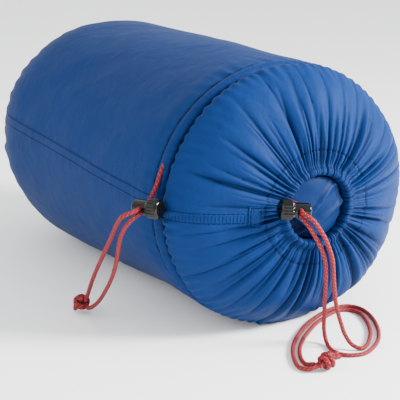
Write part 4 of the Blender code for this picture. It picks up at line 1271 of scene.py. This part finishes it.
def sewLines(name, lines, material=sewingThread, pitch=None, size=None):
    # lines are (points, ups, closed)
    points, ups, edges = [], [], []
    for line, up, closed in lines:
        start = len(points)
        points.extend([tuple(point) for point in line])
        ups.extend([tuple(vector) for vector in up])
        edges.extend((start + step, start + step + 1) for step in range(len(line) - 1))
        if closed:
            edges.append((start + len(line) - 1, start))
    mesh = bpy.data.meshes.new(name)
    mesh.from_pydata(points, edges, [])
    attribute = mesh.attributes.new("up", "FLOAT_VECTOR", "POINT")
    attribute.data.foreach_set("vector", np.asarray(ups, dtype=np.float32).ravel())
    item = bpy.data.objects.new(name, mesh)
    bpy.context.collection.objects.link(item)
    length, width, height = size or (stitching["length"], 2 * stitching["threadRadius"],
                                     2 * stitching["threadRadius"])
    applyTree(item, stitchTree, {"Pitch": pitch or stitching["pitch"], "Length": length, "Width": width,
                                 "Height": height, "Thread": material})
    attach(item, "sack")
    return item


def radialUps(angles):
    return np.stack((angles * 0.0, np.cos(angles), np.sin(angles)), axis=-1)


def bodyStitchLine(side):
    x = np.linspace(sack["seamX"] + 0.003, body["endX"] - 0.002, 160)
    angles = seamAngle(x) + side * body["stitchLine"] / sack["radius"]
    points, _ = bodySurface(x, angles, stitching["lift"])
    return points, radialUps(angles), False


def ringStitchLine(x):
    angles = np.linspace(0.0, 2 * math.pi, 360, endpoint=False)
    points, _ = bodySurface(np.full_like(angles, x), angles, stitching["lift"])
    return points, radialUps(angles), True


def collarStitchLine(side):
    outs = np.linspace(collarLine["out"][0] - 0.006, collar["patchTo"], 120)
    _, radius, _, _ = onProfile(outs)
    angles = collarSeam(outs) + side * body["stitchLine"] / radius
    points, _ = collarSurface(angles, outs, stitching["lift"])
    return points, collarNormals(angles, outs), False


def hemStitchLine(out):
    angles = np.linspace(0.0, 2 * math.pi, 640, endpoint=False)
    points, _ = collarSurface(angles, np.full_like(angles, out), stitching["lift"])
    return points, collarNormals(angles, out), True


def patchStitchLine(inset):
    low, high = collar["patchFrom"] + inset, collar["patchTo"] - inset
    half = 0.0082 - inset
    corners = [(low, -half), (low, half), (high, half), (high, -half), (low, -half)]
    outs, arcs = [], []
    for first, second in zip(corners, corners[1:]):
        for share in np.linspace(0.0, 1.0, 14, endpoint=False):
            outs.append(first[0] + (second[0] - first[0]) * share)
            arcs.append(first[1] + (second[1] - first[1]) * share)
    outs, arcs = np.array(outs), np.array(arcs)
    _, radius, _, _ = onProfile(outs)
    angles = collarSeam(outs) + arcs / radius
    points, _ = collarSurface(angles, outs, 0.00062)
    return points, collarNormals(angles, outs), True


sewLines("bodyStitches", [bodyStitchLine(1), bodyStitchLine(-1), ringStitchLine(body["endX"] - 0.0012)])
sewLines("collarStitches", [collarStitchLine(1), collarStitchLine(-1), hemStitchLine(collar["hemWidth"]),
                            patchStitchLine(0.0016), patchStitchLine(0.0032)])
sewLines("seamLadder", [collarStitchLine(0)], pitch=0.0024, size=(0.0003, 0.0058, 0.0003))
print("stitches sewn")


# cord locks

lockShape = {
    "sleeveRadius": 0.0053,
    "sleeveBore": 0.0046,
    "sleeveBack": -0.0035,
    "sleeveEnd": 0.0125,
    "sleeveFloor": 0.0115,
    "sleeveRound": 0.0019,
    "buttonRadius": 0.0069,
    "buttonRib": 0.0006,
    "buttonRibs": 18,
    "buttonLength": 0.0095,
    "buttonRound": 0.0020,
    "buttonBore": 0.0057,
    "buttonFloor": -0.0065,
    "stemRadius": 0.0043,
    "stemEnd": 0.0072,
    "holeCentre": 0.0046,
    "holeSize": (0.0074, 0.0040),
    "slotSize": (0.0070, 0.0058),
    "slotCentre": 0.0034,
    "springRadius": 0.0031,
    "springWire": 0.00028,
    "springTurns": 3.2,
    "facets": 144,
}


def lathed(name, profile, facets, material, ribs=None):
    # a closed solid turned round Z; profile is (radius, height), pole to pole
    points, faces = [], []
    rows = []
    for radius, height in profile:
        if radius == 0.0:
            rows.append([len(points)])
            points.append((0.0, 0.0, height))
            continue
        row = []
        for step in range(facets):
            angle = 2 * math.pi * step / facets
            reach = radius + (ribs(radius, height, angle) if ribs else 0.0)
            row.append(len(points))
            points.append((reach * math.cos(angle), reach * math.sin(angle), height))
        rows.append(row)
    for upper, lower in zip(rows, rows[1:]):
        for step in range(facets):
            other = (step + 1) % facets
            if len(upper) == 1:
                faces.append((upper[0], lower[step], lower[other]))
            elif len(lower) == 1:
                faces.append((upper[other], upper[step], lower[0]))
            else:
                faces.append((upper[step], lower[step], lower[other], upper[other]))
    item = meshObject(name, points, faces, material)
    faceOutwards(item)
    return item


def faceOutwards(item):
    bm = bmesh.new()
    bm.from_mesh(item.data)
    bmesh.ops.recalc_face_normals(bm, faces=bm.faces)
    if bm.calc_volume(signed=True) < 0:
        bmesh.ops.reverse_faces(bm, faces=bm.faces)
    bm.to_mesh(item.data)
    bm.free()


def roundedCorner(radius, height, size, steps=7):
    # a quarter turn from the side wall to the end, both outwards
    turns = [math.pi / 2 * step / steps for step in range(steps + 1)]
    sign = 1 if height > 0 else -1
    return [(radius - size + size * math.cos(turn), height - sign * size + sign * size * math.sin(turn))
            for turn in turns]


def extruded(name, outline, low, high, material, bevel=0.0, segments=2):
    # a plate with an outline in X and Y, standing between two heights
    bm = bmesh.new()
    bottom = [bm.verts.new((x, y, low)) for x, y in outline]
    top = [bm.verts.new((x, y, high)) for x, y in outline]
    bm.faces.new(bottom[::-1])
    bm.faces.new(top)
    for index in range(len(outline)):
        other = (index + 1) % len(outline)
        bm.faces.new((bottom[index], bottom[other], top[other], top[index]))
    if bevel:
        rims = [edge for edge in bm.edges if abs(edge.verts[0].co.z - edge.verts[1].co.z) < 1e-7]
        bmesh.ops.bevel(bm, geom=rims, offset=bevel, segments=segments, affect="EDGES", profile=0.5)
    bmesh.ops.recalc_face_normals(bm, faces=bm.faces)
    mesh = bpy.data.meshes.new(name)
    bm.to_mesh(mesh)
    bm.free()
    mesh.materials.append(material)
    item = bpy.data.objects.new(name, mesh)
    bpy.context.collection.objects.link(item)
    return item


def roundedOutline(width, height, corner, steps=6):
    outline = []
    for centreX, centreY, first in ((1, 1, 0), (-1, 1, 1), (-1, -1, 2), (1, -1, 3)):
        for step in range(steps + 1):
            turn = math.pi / 2 * (first + step / steps)
            outline.append((centreX * (width / 2 - corner) + corner * math.cos(turn),
                            centreY * (height / 2 - corner) + corner * math.sin(turn)))
    return outline


def cutSlot(item, size, centre, corner):
    # one exact cut right through the lock along its local Y
    cutter = extruded("slotCutter", roundedOutline(size[0], size[1], corner), -0.010, 0.010, lockPlastic)
    cutter.data.transform(Matrix.Translation((0, 0, centre)) @ Matrix.Rotation(math.pi / 2, 4, "X"))
    modifier = item.modifiers.new("cut", "BOOLEAN")
    modifier.operation = "DIFFERENCE"
    modifier.solver = "EXACT"
    modifier.object = cutter
    graph = bpy.context.evaluated_depsgraph_get()
    mesh = bpy.data.meshes.new_from_object(item.evaluated_get(graph))
    item.modifiers.clear()
    item.data = mesh
    bpy.data.objects.remove(cutter, do_unlink=True)


def finishPart(item, place, node, bodyName, angle=32.0):
    item.data.transform(place)
    item.data.shade_smooth()
    item.data.set_sharp_from_angle(angle=math.radians(angle))
    if node:
        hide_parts(node)
    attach(item, bodyName)
    return item


def lockMatrix(lock):
    across = lock["axis"].cross(lock["out"])
    turned = Matrix((-across, lock["out"], lock["axis"])).transposed().to_4x4()
    return Matrix.Translation(lock["hole"] - lock["axis"] * lockShape["holeCentre"]) @ turned


def sleeveProfile():
    shape = lockShape
    edge = 0.00022
    return [(0.0, shape["sleeveFloor"]), (shape["sleeveBore"], shape["sleeveFloor"]),
            (shape["sleeveBore"], shape["sleeveBack"] + edge),
            (shape["sleeveBore"] + edge, shape["sleeveBack"]),
            (shape["sleeveRadius"] - edge, shape["sleeveBack"]),
            (shape["sleeveRadius"], shape["sleeveBack"] + edge),
            *roundedCorner(shape["sleeveRadius"], shape["sleeveEnd"], shape["sleeveRound"]),
            (0.0, shape["sleeveEnd"])]


def buttonProfile():
    shape = lockShape
    core = shape["buttonRadius"] - shape["buttonRib"]
    edge = 0.00035
    wall = [(core, -0.0007 - (shape["buttonLength"] - shape["buttonRound"] - 0.0007) * step / 8)
            for step in range(9)]
    return [(0.0, -shape["buttonLength"]),
            *roundedCorner(core, -shape["buttonLength"], shape["buttonRound"])[::-1],
            *wall[::-1][1:], (core - edge * 0.3, -0.0003), (core - edge, 0.0), (shape["buttonBore"], 0.0),
            (shape["buttonBore"], shape["buttonFloor"]), (shape["stemRadius"], shape["buttonFloor"]),
            (shape["stemRadius"], shape["stemEnd"] - 0.0005),
            (shape["stemRadius"] - 0.0005, shape["stemEnd"]),
            (0.0, shape["stemEnd"])]


def buttonRibs(radius, height, angle):
    shape = lockShape
    if radius < shape["buttonBore"] + 0.0001 or height > -0.0001:
        return 0.0
    fade = smoothStep(-shape["buttonLength"] + 0.0004, -shape["buttonLength"] + 0.0024, height)
    fade = fade * smoothStep(-0.0003, -0.0014, height)
    return float(shape["buttonRib"] * fade * (0.5 + 0.5 * math.cos(shape["buttonRibs"] * angle)) ** 0.55)


def springLine():
    shape = lockShape
    low = shape["stemEnd"] + shape["springWire"] + 0.0002
    high = shape["sleeveFloor"] - shape["springWire"] - 0.0002
    turns = np.linspace(0.0, 1.0, round(shape["springTurns"] * 30))
    # the end coils lie flat
    rise = smoothStep(0.10, 0.90, turns) * 0.5 + 0.5 * np.clip((turns - 0.1) / 0.8, 0, 1)
    angle = 2 * math.pi * shape["springTurns"] * turns
    return np.stack((shape["springRadius"] * np.cos(angle), shape["springRadius"] * np.sin(angle),
                     low + (high - low) * rise), axis=1)


def plainTube(name, points, radius, material, sides=10):
    rings, _ = tubeRings(np.asarray(points), sides)
    surface = np.asarray(points)[:, None, :] + rings * radius
    count = len(points)
    faces = []
    for row in range(count - 1):
        for column in range(sides):
            other = (column + 1) % sides
            faces.append((row * sides + other, row * sides + column,
                          (row + 1) * sides + column, (row + 1) * sides + other))
    faces.append(tuple(range(sides)))
    faces.append(tuple(reversed(range((count - 1) * sides, count * sides))))
    item = meshObject(name, surface.reshape(-1, 3), faces, material)
    faceOutwards(item)
    return item


def makeLock(prefix, lock):
    place = lockMatrix(lock)
    sleeve = lathed(prefix + "LockSleeve", sleeveProfile(), 96, lockPlastic)
    cutSlot(sleeve, lockShape["holeSize"], lockShape["holeCentre"], 0.0019)
    finishPart(sleeve, place, prefix + "_lock_sleeve", prefix + "_lock")
    button = lathed(prefix + "LockButton", buttonProfile(), lockShape["facets"], lockPlastic, buttonRibs)
    cutSlot(button, lockShape["slotSize"], lockShape["slotCentre"], 0.0012)
    finishPart(button, place, prefix + "_lock_button", prefix + "_button")
    spring = plainTube(prefix + "LockSpring", springLine(), lockShape["springWire"], springSteel)
    finishPart(spring, place, prefix + "_lock_spring", prefix + "_lock")
    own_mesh(spring)


makeLock("mid", midLock)
makeLock("mouth", mouthLock)
print("cord locks made")


# rolled bag

roll = {
    "halfWidth": 0.0940,
    "halfHeight": 0.0872,
    "startAngle": -math.pi / 2,
    "outer": 0.0985,
    "turns": 3.64,           # past this the inner fold would cross itself
    "facets": 40,
    "rows": 44,
    "pitch": 0.0215,
    "shift": (-0.0053, 0.0053),
    "shellOffset": 0.0098,
    "shellSkin": 0.0010,
    "fillOffset": 0.0085,
    "fillSkin": 0.0062,
    "liningOffset": 0.0020,
    "liningSkin": 0.0010,
    "stations": ((-0.1550, 0.820), (-0.1180, 1.000), (0.1480, 0.960)),
    "quiltSpacing": 0.052,
    "quiltDepth": 0.0005,
}
shellCloth = clothMaterial("shellRipstop", (0.0022, 0.0220, 0.100), (0.0003, 0.0030, 0.016), 1400.0, 0.50)
liningCloth = clothMaterial("brushedLining", (0.020, 0.022, 0.027), (0.005, 0.006, 0.008), 900.0, 0.80,
                            sheen=0.08)
webbing = clothMaterial("zipWebbing", (0.0035, 0.0042, 0.0065), (0.0008, 0.0009, 0.0013), 800.0, 0.75)
zipPlastic = grainMaterial("zipNylon", (0.0020, 0.0020, 0.0023), (0.0050, 0.0048, 0.0046), 0.38,
                           specular=0.20)
zipMetal = grainMaterial("zipEnamel", (0.010, 0.010, 0.012), (0.035, 0.033, 0.031), 0.32, metallic=0.3,
                         specular=0.30)


def makeFleece():
    material, tree, shader = newMaterial("fibreBatt")
    places = addNode(tree, "ShaderNodeTexCoord")
    fibres = addNode(tree, "ShaderNodeTexNoise",
                     {"Vector": places.outputs["Object"], "Scale": 420.0, "Detail": 6.0, "Distortion": 2.0})
    clumps = addNode(tree, "ShaderNodeTexNoise",
                     {"Vector": places.outputs["Object"], "Scale": 45.0, "Detail": 3.0})
    shade = mathNode(tree, "MULTIPLY", fibres.outputs["Fac"], clumps.outputs["Fac"])
    color = mixColors(tree, shade, (0.90, 0.90, 0.88), (0.66, 0.66, 0.64))
    tree.links.new(color, shader.inputs["Base Color"])
    height = mathNode(tree, "MULTIPLY", mathNode(tree, "ADD", fibres.outputs["Fac"], clumps.outputs["Fac"]),
                      0.0008)
    tree.links.new(bumpFrom(tree, height, 0.8), shader.inputs["Normal"])
    shader.inputs["Roughness"].default_value = 0.95
    shader.inputs["Sheen Weight"].default_value = 0.4
    return material


fleece = makeFleece()


def rollPoints(x, radius, angle):
    stationX = [station[0] for station in roll["stations"]]
    stationScale = [station[1] for station in roll["stations"]]
    scale = np.interp(x, stationX, stationScale)
    ratio = roll["halfHeight"] / roll["halfWidth"]
    turned = angle + roll["startAngle"]
    y = scale * (radius * np.cos(turned) + roll["shift"][0])
    z = sack["axisHeight"] + scale * ratio * (radius * np.sin(turned) + roll["shift"][1])
    return np.stack(np.broadcast_arrays(x, y, z), axis=-1)


def spiralRadius(angle):
    return roll["outer"] - roll["shellOffset"] - roll["pitch"] * angle / (2 * math.pi)


def hairpin(offset):
    total = 2 * math.pi * roll["turns"]
    angles = np.linspace(0.0, total, round(roll["turns"] * roll["facets"]) + 1)
    centre = spiralRadius(total)
    bends = np.linspace(math.pi / 2, -math.pi / 2, 9)[1:-1]
    radii = np.concatenate([spiralRadius(angles) + offset, centre + offset * np.sin(bends),
                            (spiralRadius(angles) - offset)[::-1]])
    places = np.concatenate([angles, total + offset * 0.9 * np.cos(bends) / centre, angles[::-1]])
    side = np.concatenate([angles * 0 + 1, np.sin(bends), angles * 0 - 1])
    return radii, places, side


def makeLayer(name, node, offset, skin, material, rows, relief):
    x = np.linspace(roll["stations"][0][0], roll["stations"][-1][0], rows)
    blocks = []
    for depth in (offset, offset - skin):
        radii, places, side = hairpin(depth)
        quilt = np.minimum(np.abs(((x[:, None] + 0.02) % roll["quiltSpacing"]) - roll["quiltSpacing"] / 2),
                           0.012)
        pinch = roll["quiltDepth"] * hump(quilt, 0.0045)
        rough = relief * (0.5 + 0.5 * waves(places[None, :], x[:, None], (3, 11), (0.02, 0.07), 83, 9) / 2.7)
        # only the face turned outwards is drawn in, so the layers keep their gaps
        change = (pinch + np.clip(rough, 0.0, relief)) * (1.0 if depth == offset else 0.0)
        blocks.append(rollPoints(x[:, None], radii[None, :] - side[None, :] * change, places[None, :]))
    near, far = blocks
    rowCount, columns = near.shape[:2]
    index = np.arange(rowCount * columns).reshape(rowCount, columns)
    other = index + rowCount * columns
    faces = []
    for row in range(rowCount - 1):
        for column in range(columns - 1):
            faces.append((index[row, column], index[row, column + 1], index[row + 1, column + 1],
                          index[row + 1, column]))
            faces.append((other[row, column], other[row + 1, column], other[row + 1, column + 1],
                          other[row, column + 1]))
        for column in (0, columns - 1):
            faces.append((index[row, column], other[row, column], other[row + 1, column],
                          index[row + 1, column]))
    for row in (0, rowCount - 1):
        for column in range(columns - 1):
            faces.append((index[row, column], index[row, column + 1], other[row, column + 1],
                          other[row, column]))
    faces = [tuple(int(corner) for corner in face) for face in faces]
    points = np.concatenate([near.reshape(-1, 3), far.reshape(-1, 3)])
    travel = np.concatenate([[0.0], np.cumsum(np.linalg.norm(np.diff(near[rowCount // 2], axis=0), axis=1))])
    flatUv = np.stack(np.broadcast_arrays(travel[None, :], x[:, None]), axis=-1).reshape(-1, 2)
    flatUv = np.concatenate([flatUv, flatUv])
    uvs = [flatUv[corner] for face in faces for corner in face]
    item = meshObject(name, points, faces, material, uvs, np.zeros(len(points)))
    faceOutwards(item)
    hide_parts(node)
    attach(item, "sack")
    print(name, "is", round(float(travel[-1]), 3), "m long and", round(float(x[-1] - x[0]), 3), "m wide")
    return item, float(travel[-1]), float(x[-1] - x[0])


bagShell, shellLength, shellWidth = makeLayer("bagShell", "bag_shell", roll["shellOffset"], roll["shellSkin"],
                                              shellCloth, roll["rows"], 0.0001)
bagFill, _, _ = makeLayer("bagInsulation", "bag_insulation", roll["fillOffset"], roll["fillSkin"], fleece,
                          roll["rows"], 0.0004)
bagLining, liningLength, liningWidth = makeLayer("bagLining", "bag_lining", roll["liningOffset"],
                                                 roll["liningSkin"], liningCloth,
                                                 roll["rows"], 0.00005)
print("rolled bag made")


# zip and small parts of the bag

zipShape = {
    "startTurn": 0.16,
    "endTurn": 3.62,
    "tapeOverrun": 0.10,
    "tapeHalfWidth": 0.0070,
    "chainThickness": 0.0018,
    "chainHalfWidth": 0.0026,
    "chainInset": (0.0115, 0.075),
    "toothPitch": 0.0017,
    "sliderSize": (0.0100, 0.0090, 0.0034),
    "pullSize": (0.0170, 0.0060, 0.0010),
    "tabSize": (0.0200, 0.0180, 0.0020),
    "tabTurn": 0.085,
}
tapeLow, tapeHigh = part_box("bag_zip_tape")
chainLow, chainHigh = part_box("bag_zip_chain")
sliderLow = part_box("bag_zip_slider")[0]
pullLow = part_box("bag_zip_slider_pull")[0]
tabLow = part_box("bag_fastener_tab")[0]


def rollEdge(x, offset, angle):
    points = rollPoints(np.full_like(angle, roll["stations"][-1][0]), spiralRadius(angle) + offset, angle)
    points[..., 0] = x
    return points


def makeTape():
    turns = np.linspace(zipShape["startTurn"] - zipShape["tapeOverrun"], zipShape["endTurn"], 260)
    angles = 2 * math.pi * turns
    across = np.linspace(-zipShape["tapeHalfWidth"], zipShape["tapeHalfWidth"], 13)
    high, low = tapeHigh[0], tapeLow[0]
    rib = 0.0001 * (1 - np.cos(across / zipShape["tapeHalfWidth"] * 6 * math.pi)) / 2
    section = [(offset, high - bump) for offset, bump in zip(across, rib)]
    section += [(offset, low) for offset in across[::-1]]
    grid = np.stack([rollEdge(x, offset, angles) for offset, x in section], axis=1)
    rows, columns = grid.shape[:2]
    faces = []
    for row in range(rows - 1):
        for column in range(columns):
            other = (column + 1) % columns
            faces.append((row * columns + column, row * columns + other,
                          (row + 1) * columns + other, (row + 1) * columns + column))
    faces.append(tuple(range(columns)))
    faces.append(tuple(range((rows - 1) * columns, rows * columns)))
    travel = np.linspace(0, 1.1, rows)
    uv = [((corner % columns) * 0.0011, travel[corner // columns]) for face in faces for corner in face]
    item = meshObject("bagZipTape", grid.reshape(-1, 3), faces, webbing, uv)
    faceOutwards(item)
    finishPart(item, Matrix.Identity(4), "bag_zip_tape", "sack", 50)


def makeTeeth():
    turns = np.linspace(zipShape["startTurn"] + zipShape["chainInset"][0],
                        zipShape["endTurn"] - zipShape["chainInset"][1], 900)
    angles = 2 * math.pi * turns
    lines = []
    for side, shift in ((1, 0.0), (-1, 0.5)):
        middle = (chainLow[0] + chainHigh[0]) / 2
        points = rollEdge(middle, side * 0.0011, angles)
        trim = int(4 * shift)
        ups = np.zeros_like(points)
        ups[:, 0] = 1.0
        lines.append((points[trim:], ups[trim:], False))
    item = sewLines("bagZipChain", lines, zipPlastic, zipShape["toothPitch"],
                    (0.00125, zipShape["chainHalfWidth"] * 1.1, zipShape["chainThickness"]))
    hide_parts("bag_zip_chain")


def edgeMatrix(turn, x):
    angle = np.array(2 * math.pi * turn)
    here = Vector(rollEdge(x, 0.0, angle))
    ahead = Vector(rollEdge(x, 0.0, angle + 0.01))
    along = (ahead - here).normalized()
    up = Vector((1.0, 0.0, 0.0))
    return Matrix.Translation(here) @ Matrix((along, up.cross(along), up)).transposed().to_4x4()


def joinParts(first, others):
    bm = bmesh.new()
    for item in [first, *others]:
        bm.from_mesh(item.data)
    bm.to_mesh(first.data)
    bm.free()
    for item in others:
        bpy.data.objects.remove(item, do_unlink=True)


def makeSlider():
    length, width, height = zipShape["sliderSize"]
    outline = [(-length / 2, -width * 0.30), (-length * 0.15, -width * 0.34), (length * 0.10, -width * 0.46),
               (length * 0.34, -width / 2), (length / 2, -width * 0.36), (length * 0.40, 0.0),
               (length / 2, width * 0.36), (length * 0.34, width / 2), (length * 0.10, width * 0.46),
               (-length * 0.15, width * 0.34), (-length / 2, width * 0.30)]
    sliderBase = extruded("bagZipSlider", outline, 0.0, height * 0.62, zipMetal, 0.0004, 3)
    crown = extruded("sliderCrown", roundedOutline(length * 0.62, width * 0.34, 0.0011), height * 0.5, height,
                     zipMetal, 0.0004, 3)
    joinParts(sliderBase, [crown])
    finishPart(sliderBase, edgeMatrix(zipShape["startTurn"], sliderLow[0]), "bag_zip_slider",
               "sack")


def makePull():
    length, width, height = zipShape["pullSize"]
    outline = roundedOutline(length, width, 0.0020)
    # a waist near the hinge
    shaped = []
    for x, y in outline:
        shaped.append((x + length / 2,
                       y * (1 - 0.28 * math.exp(-((x + length * 0.16) / (length * 0.16)) ** 2))))
    item = extruded("bagZipPull", shaped, 0.0, height, zipMetal, 0.0003, 3)
    ribs = []
    for place in (0.58, 0.68, 0.78, 0.88):
        bar = roundedOutline(0.0007, width * 0.6, 0.0003, 3)
        ribs.append(extruded("grip", [(x + length * place, y) for x, y in bar], height * 0.7, height + 0.0003,
                             zipMetal, 0.0001, 1))
    joinParts(item, ribs)
    finishPart(item, edgeMatrix(zipShape["startTurn"], pullLow[0]), "bag_zip_slider_pull",
               "zip_pull")


def makeTab():
    length, width, height = zipShape["tabSize"]
    item = extruded("bagFastenerTab", roundedOutline(length, width, 0.0030, 8), 0.0, height, webbing, 0.0005,
                    3)
    finishPart(item, edgeMatrix(zipShape["tabTurn"], tabLow[0]), "bag_fastener_tab", "sack")


def makeLoop(name, node):
    low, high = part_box(node)
    middle = ((low[1] + high[1]) / 2, (low[2] + high[2]) / 2)
    halfY, halfZ, thick = (high[1] - low[1]) / 2, (high[2] - low[2]) / 2, 0.0011
    corner = 0.0022
    line = [(high[0], -halfY + thick / 2)]
    for turn in np.linspace(0.0, math.pi / 2, 8):
        line.append((low[0] + thick / 2 + corner - corner * math.sin(turn),
                     -halfY + thick / 2 + corner - corner * math.cos(turn)))
    line += [(x, -y) for x, y in line[::-1]]
    line = np.array(line)
    along = np.gradient(line, axis=0)
    along /= np.linalg.norm(along, axis=1, keepdims=True)
    normal = np.stack((-along[:, 1], along[:, 0]), axis=1)
    section = []
    for side in (1, -1):
        for height in np.linspace(-1, 1, 7)[::side]:
            swell = 1.0 - 0.25 * abs(height) ** 6
            section.append((side * thick / 2 * swell, height * halfZ))
    points, faces = [], []
    for (x, y), (normalX, normalY) in zip(line, normal):
        for reach, height in section:
            points.append((x + normalX * reach, middle[0] + y + normalY * reach, middle[1] + height))
    columns = len(section)
    for row in range(len(line) - 1):
        for column in range(columns):
            other = (column + 1) % columns
            faces.append((row * columns + column, row * columns + other,
                          (row + 1) * columns + other, (row + 1) * columns + column))
    faces.append(tuple(range(columns)))
    faces.append(tuple(range((len(line) - 1) * columns, len(line) * columns)))
    uv = [((vertex % columns) * 0.0012, (vertex // columns) * 0.001) for face in faces for vertex in face]
    item = meshObject(name, points, faces, webbing, uv)
    faceOutwards(item)
    finishPart(item, Matrix.Identity(4), node, "sack", 45)


makeTape()
makeTeeth()
makeSlider()
makePull()
makeTab()
makeLoop("bagLoopLeft", "bag_loop_left")
makeLoop("bagLoopRight", "bag_loop_right")
print("zip and small parts made")


# floor and lights

studio = {
    "floorSize": 30.0,
    "floorColor": (0.97, 0.97, 0.97),
    "worldColor": (0.97, 0.98, 1.0),
    "worldStrength": 1.75,
}


def addFloor():
    half = studio["floorSize"] / 2
    corners = np.array([(-half, -half, 0.0), (half, -half, 0.0), (half, half, 0.0), (-half, half, 0.0)])
    material, _, shader = newMaterial("paleFloor")
    shader.inputs["Base Color"].default_value = (*studio["floorColor"], 1.0)
    shader.inputs["Roughness"].default_value = 0.9
    floor = meshObject("floor", corners, [(0, 1, 2, 3)], material, smooth=False)


def addLight(name, place, target, size, power):
    data = bpy.data.lights.new(name, "AREA")
    data.shape = "RECTANGLE"
    data.size, data.size_y = size
    data.energy = power
    light = bpy.data.objects.new(name, data)
    bpy.context.collection.objects.link(light)
    light.location = place
    light.rotation_euler = (Vector(target) - light.location).to_track_quat("-Z", "Y").to_euler()


def addWorld():
    world = bpy.data.worlds.new("studio")
    world.use_nodes = True
    background = world.node_tree.nodes["Background"]
    background.inputs["Color"].default_value = (*studio["worldColor"], 1.0)
    background.inputs["Strength"].default_value = studio["worldStrength"]
    bpy.context.scene.world = world


addFloor()
addWorld()
addLight("keySoftbox", (0.86, 0.72, 0.66), (0.14, 0.0, 0.09), (0.34, 0.34), 62.0)
addLight("fillSoftbox", (0.5, -1.3, 0.8), (0.0, 0.0, 0.09), (1.2, 0.9), 12.0)
print("studio lit")
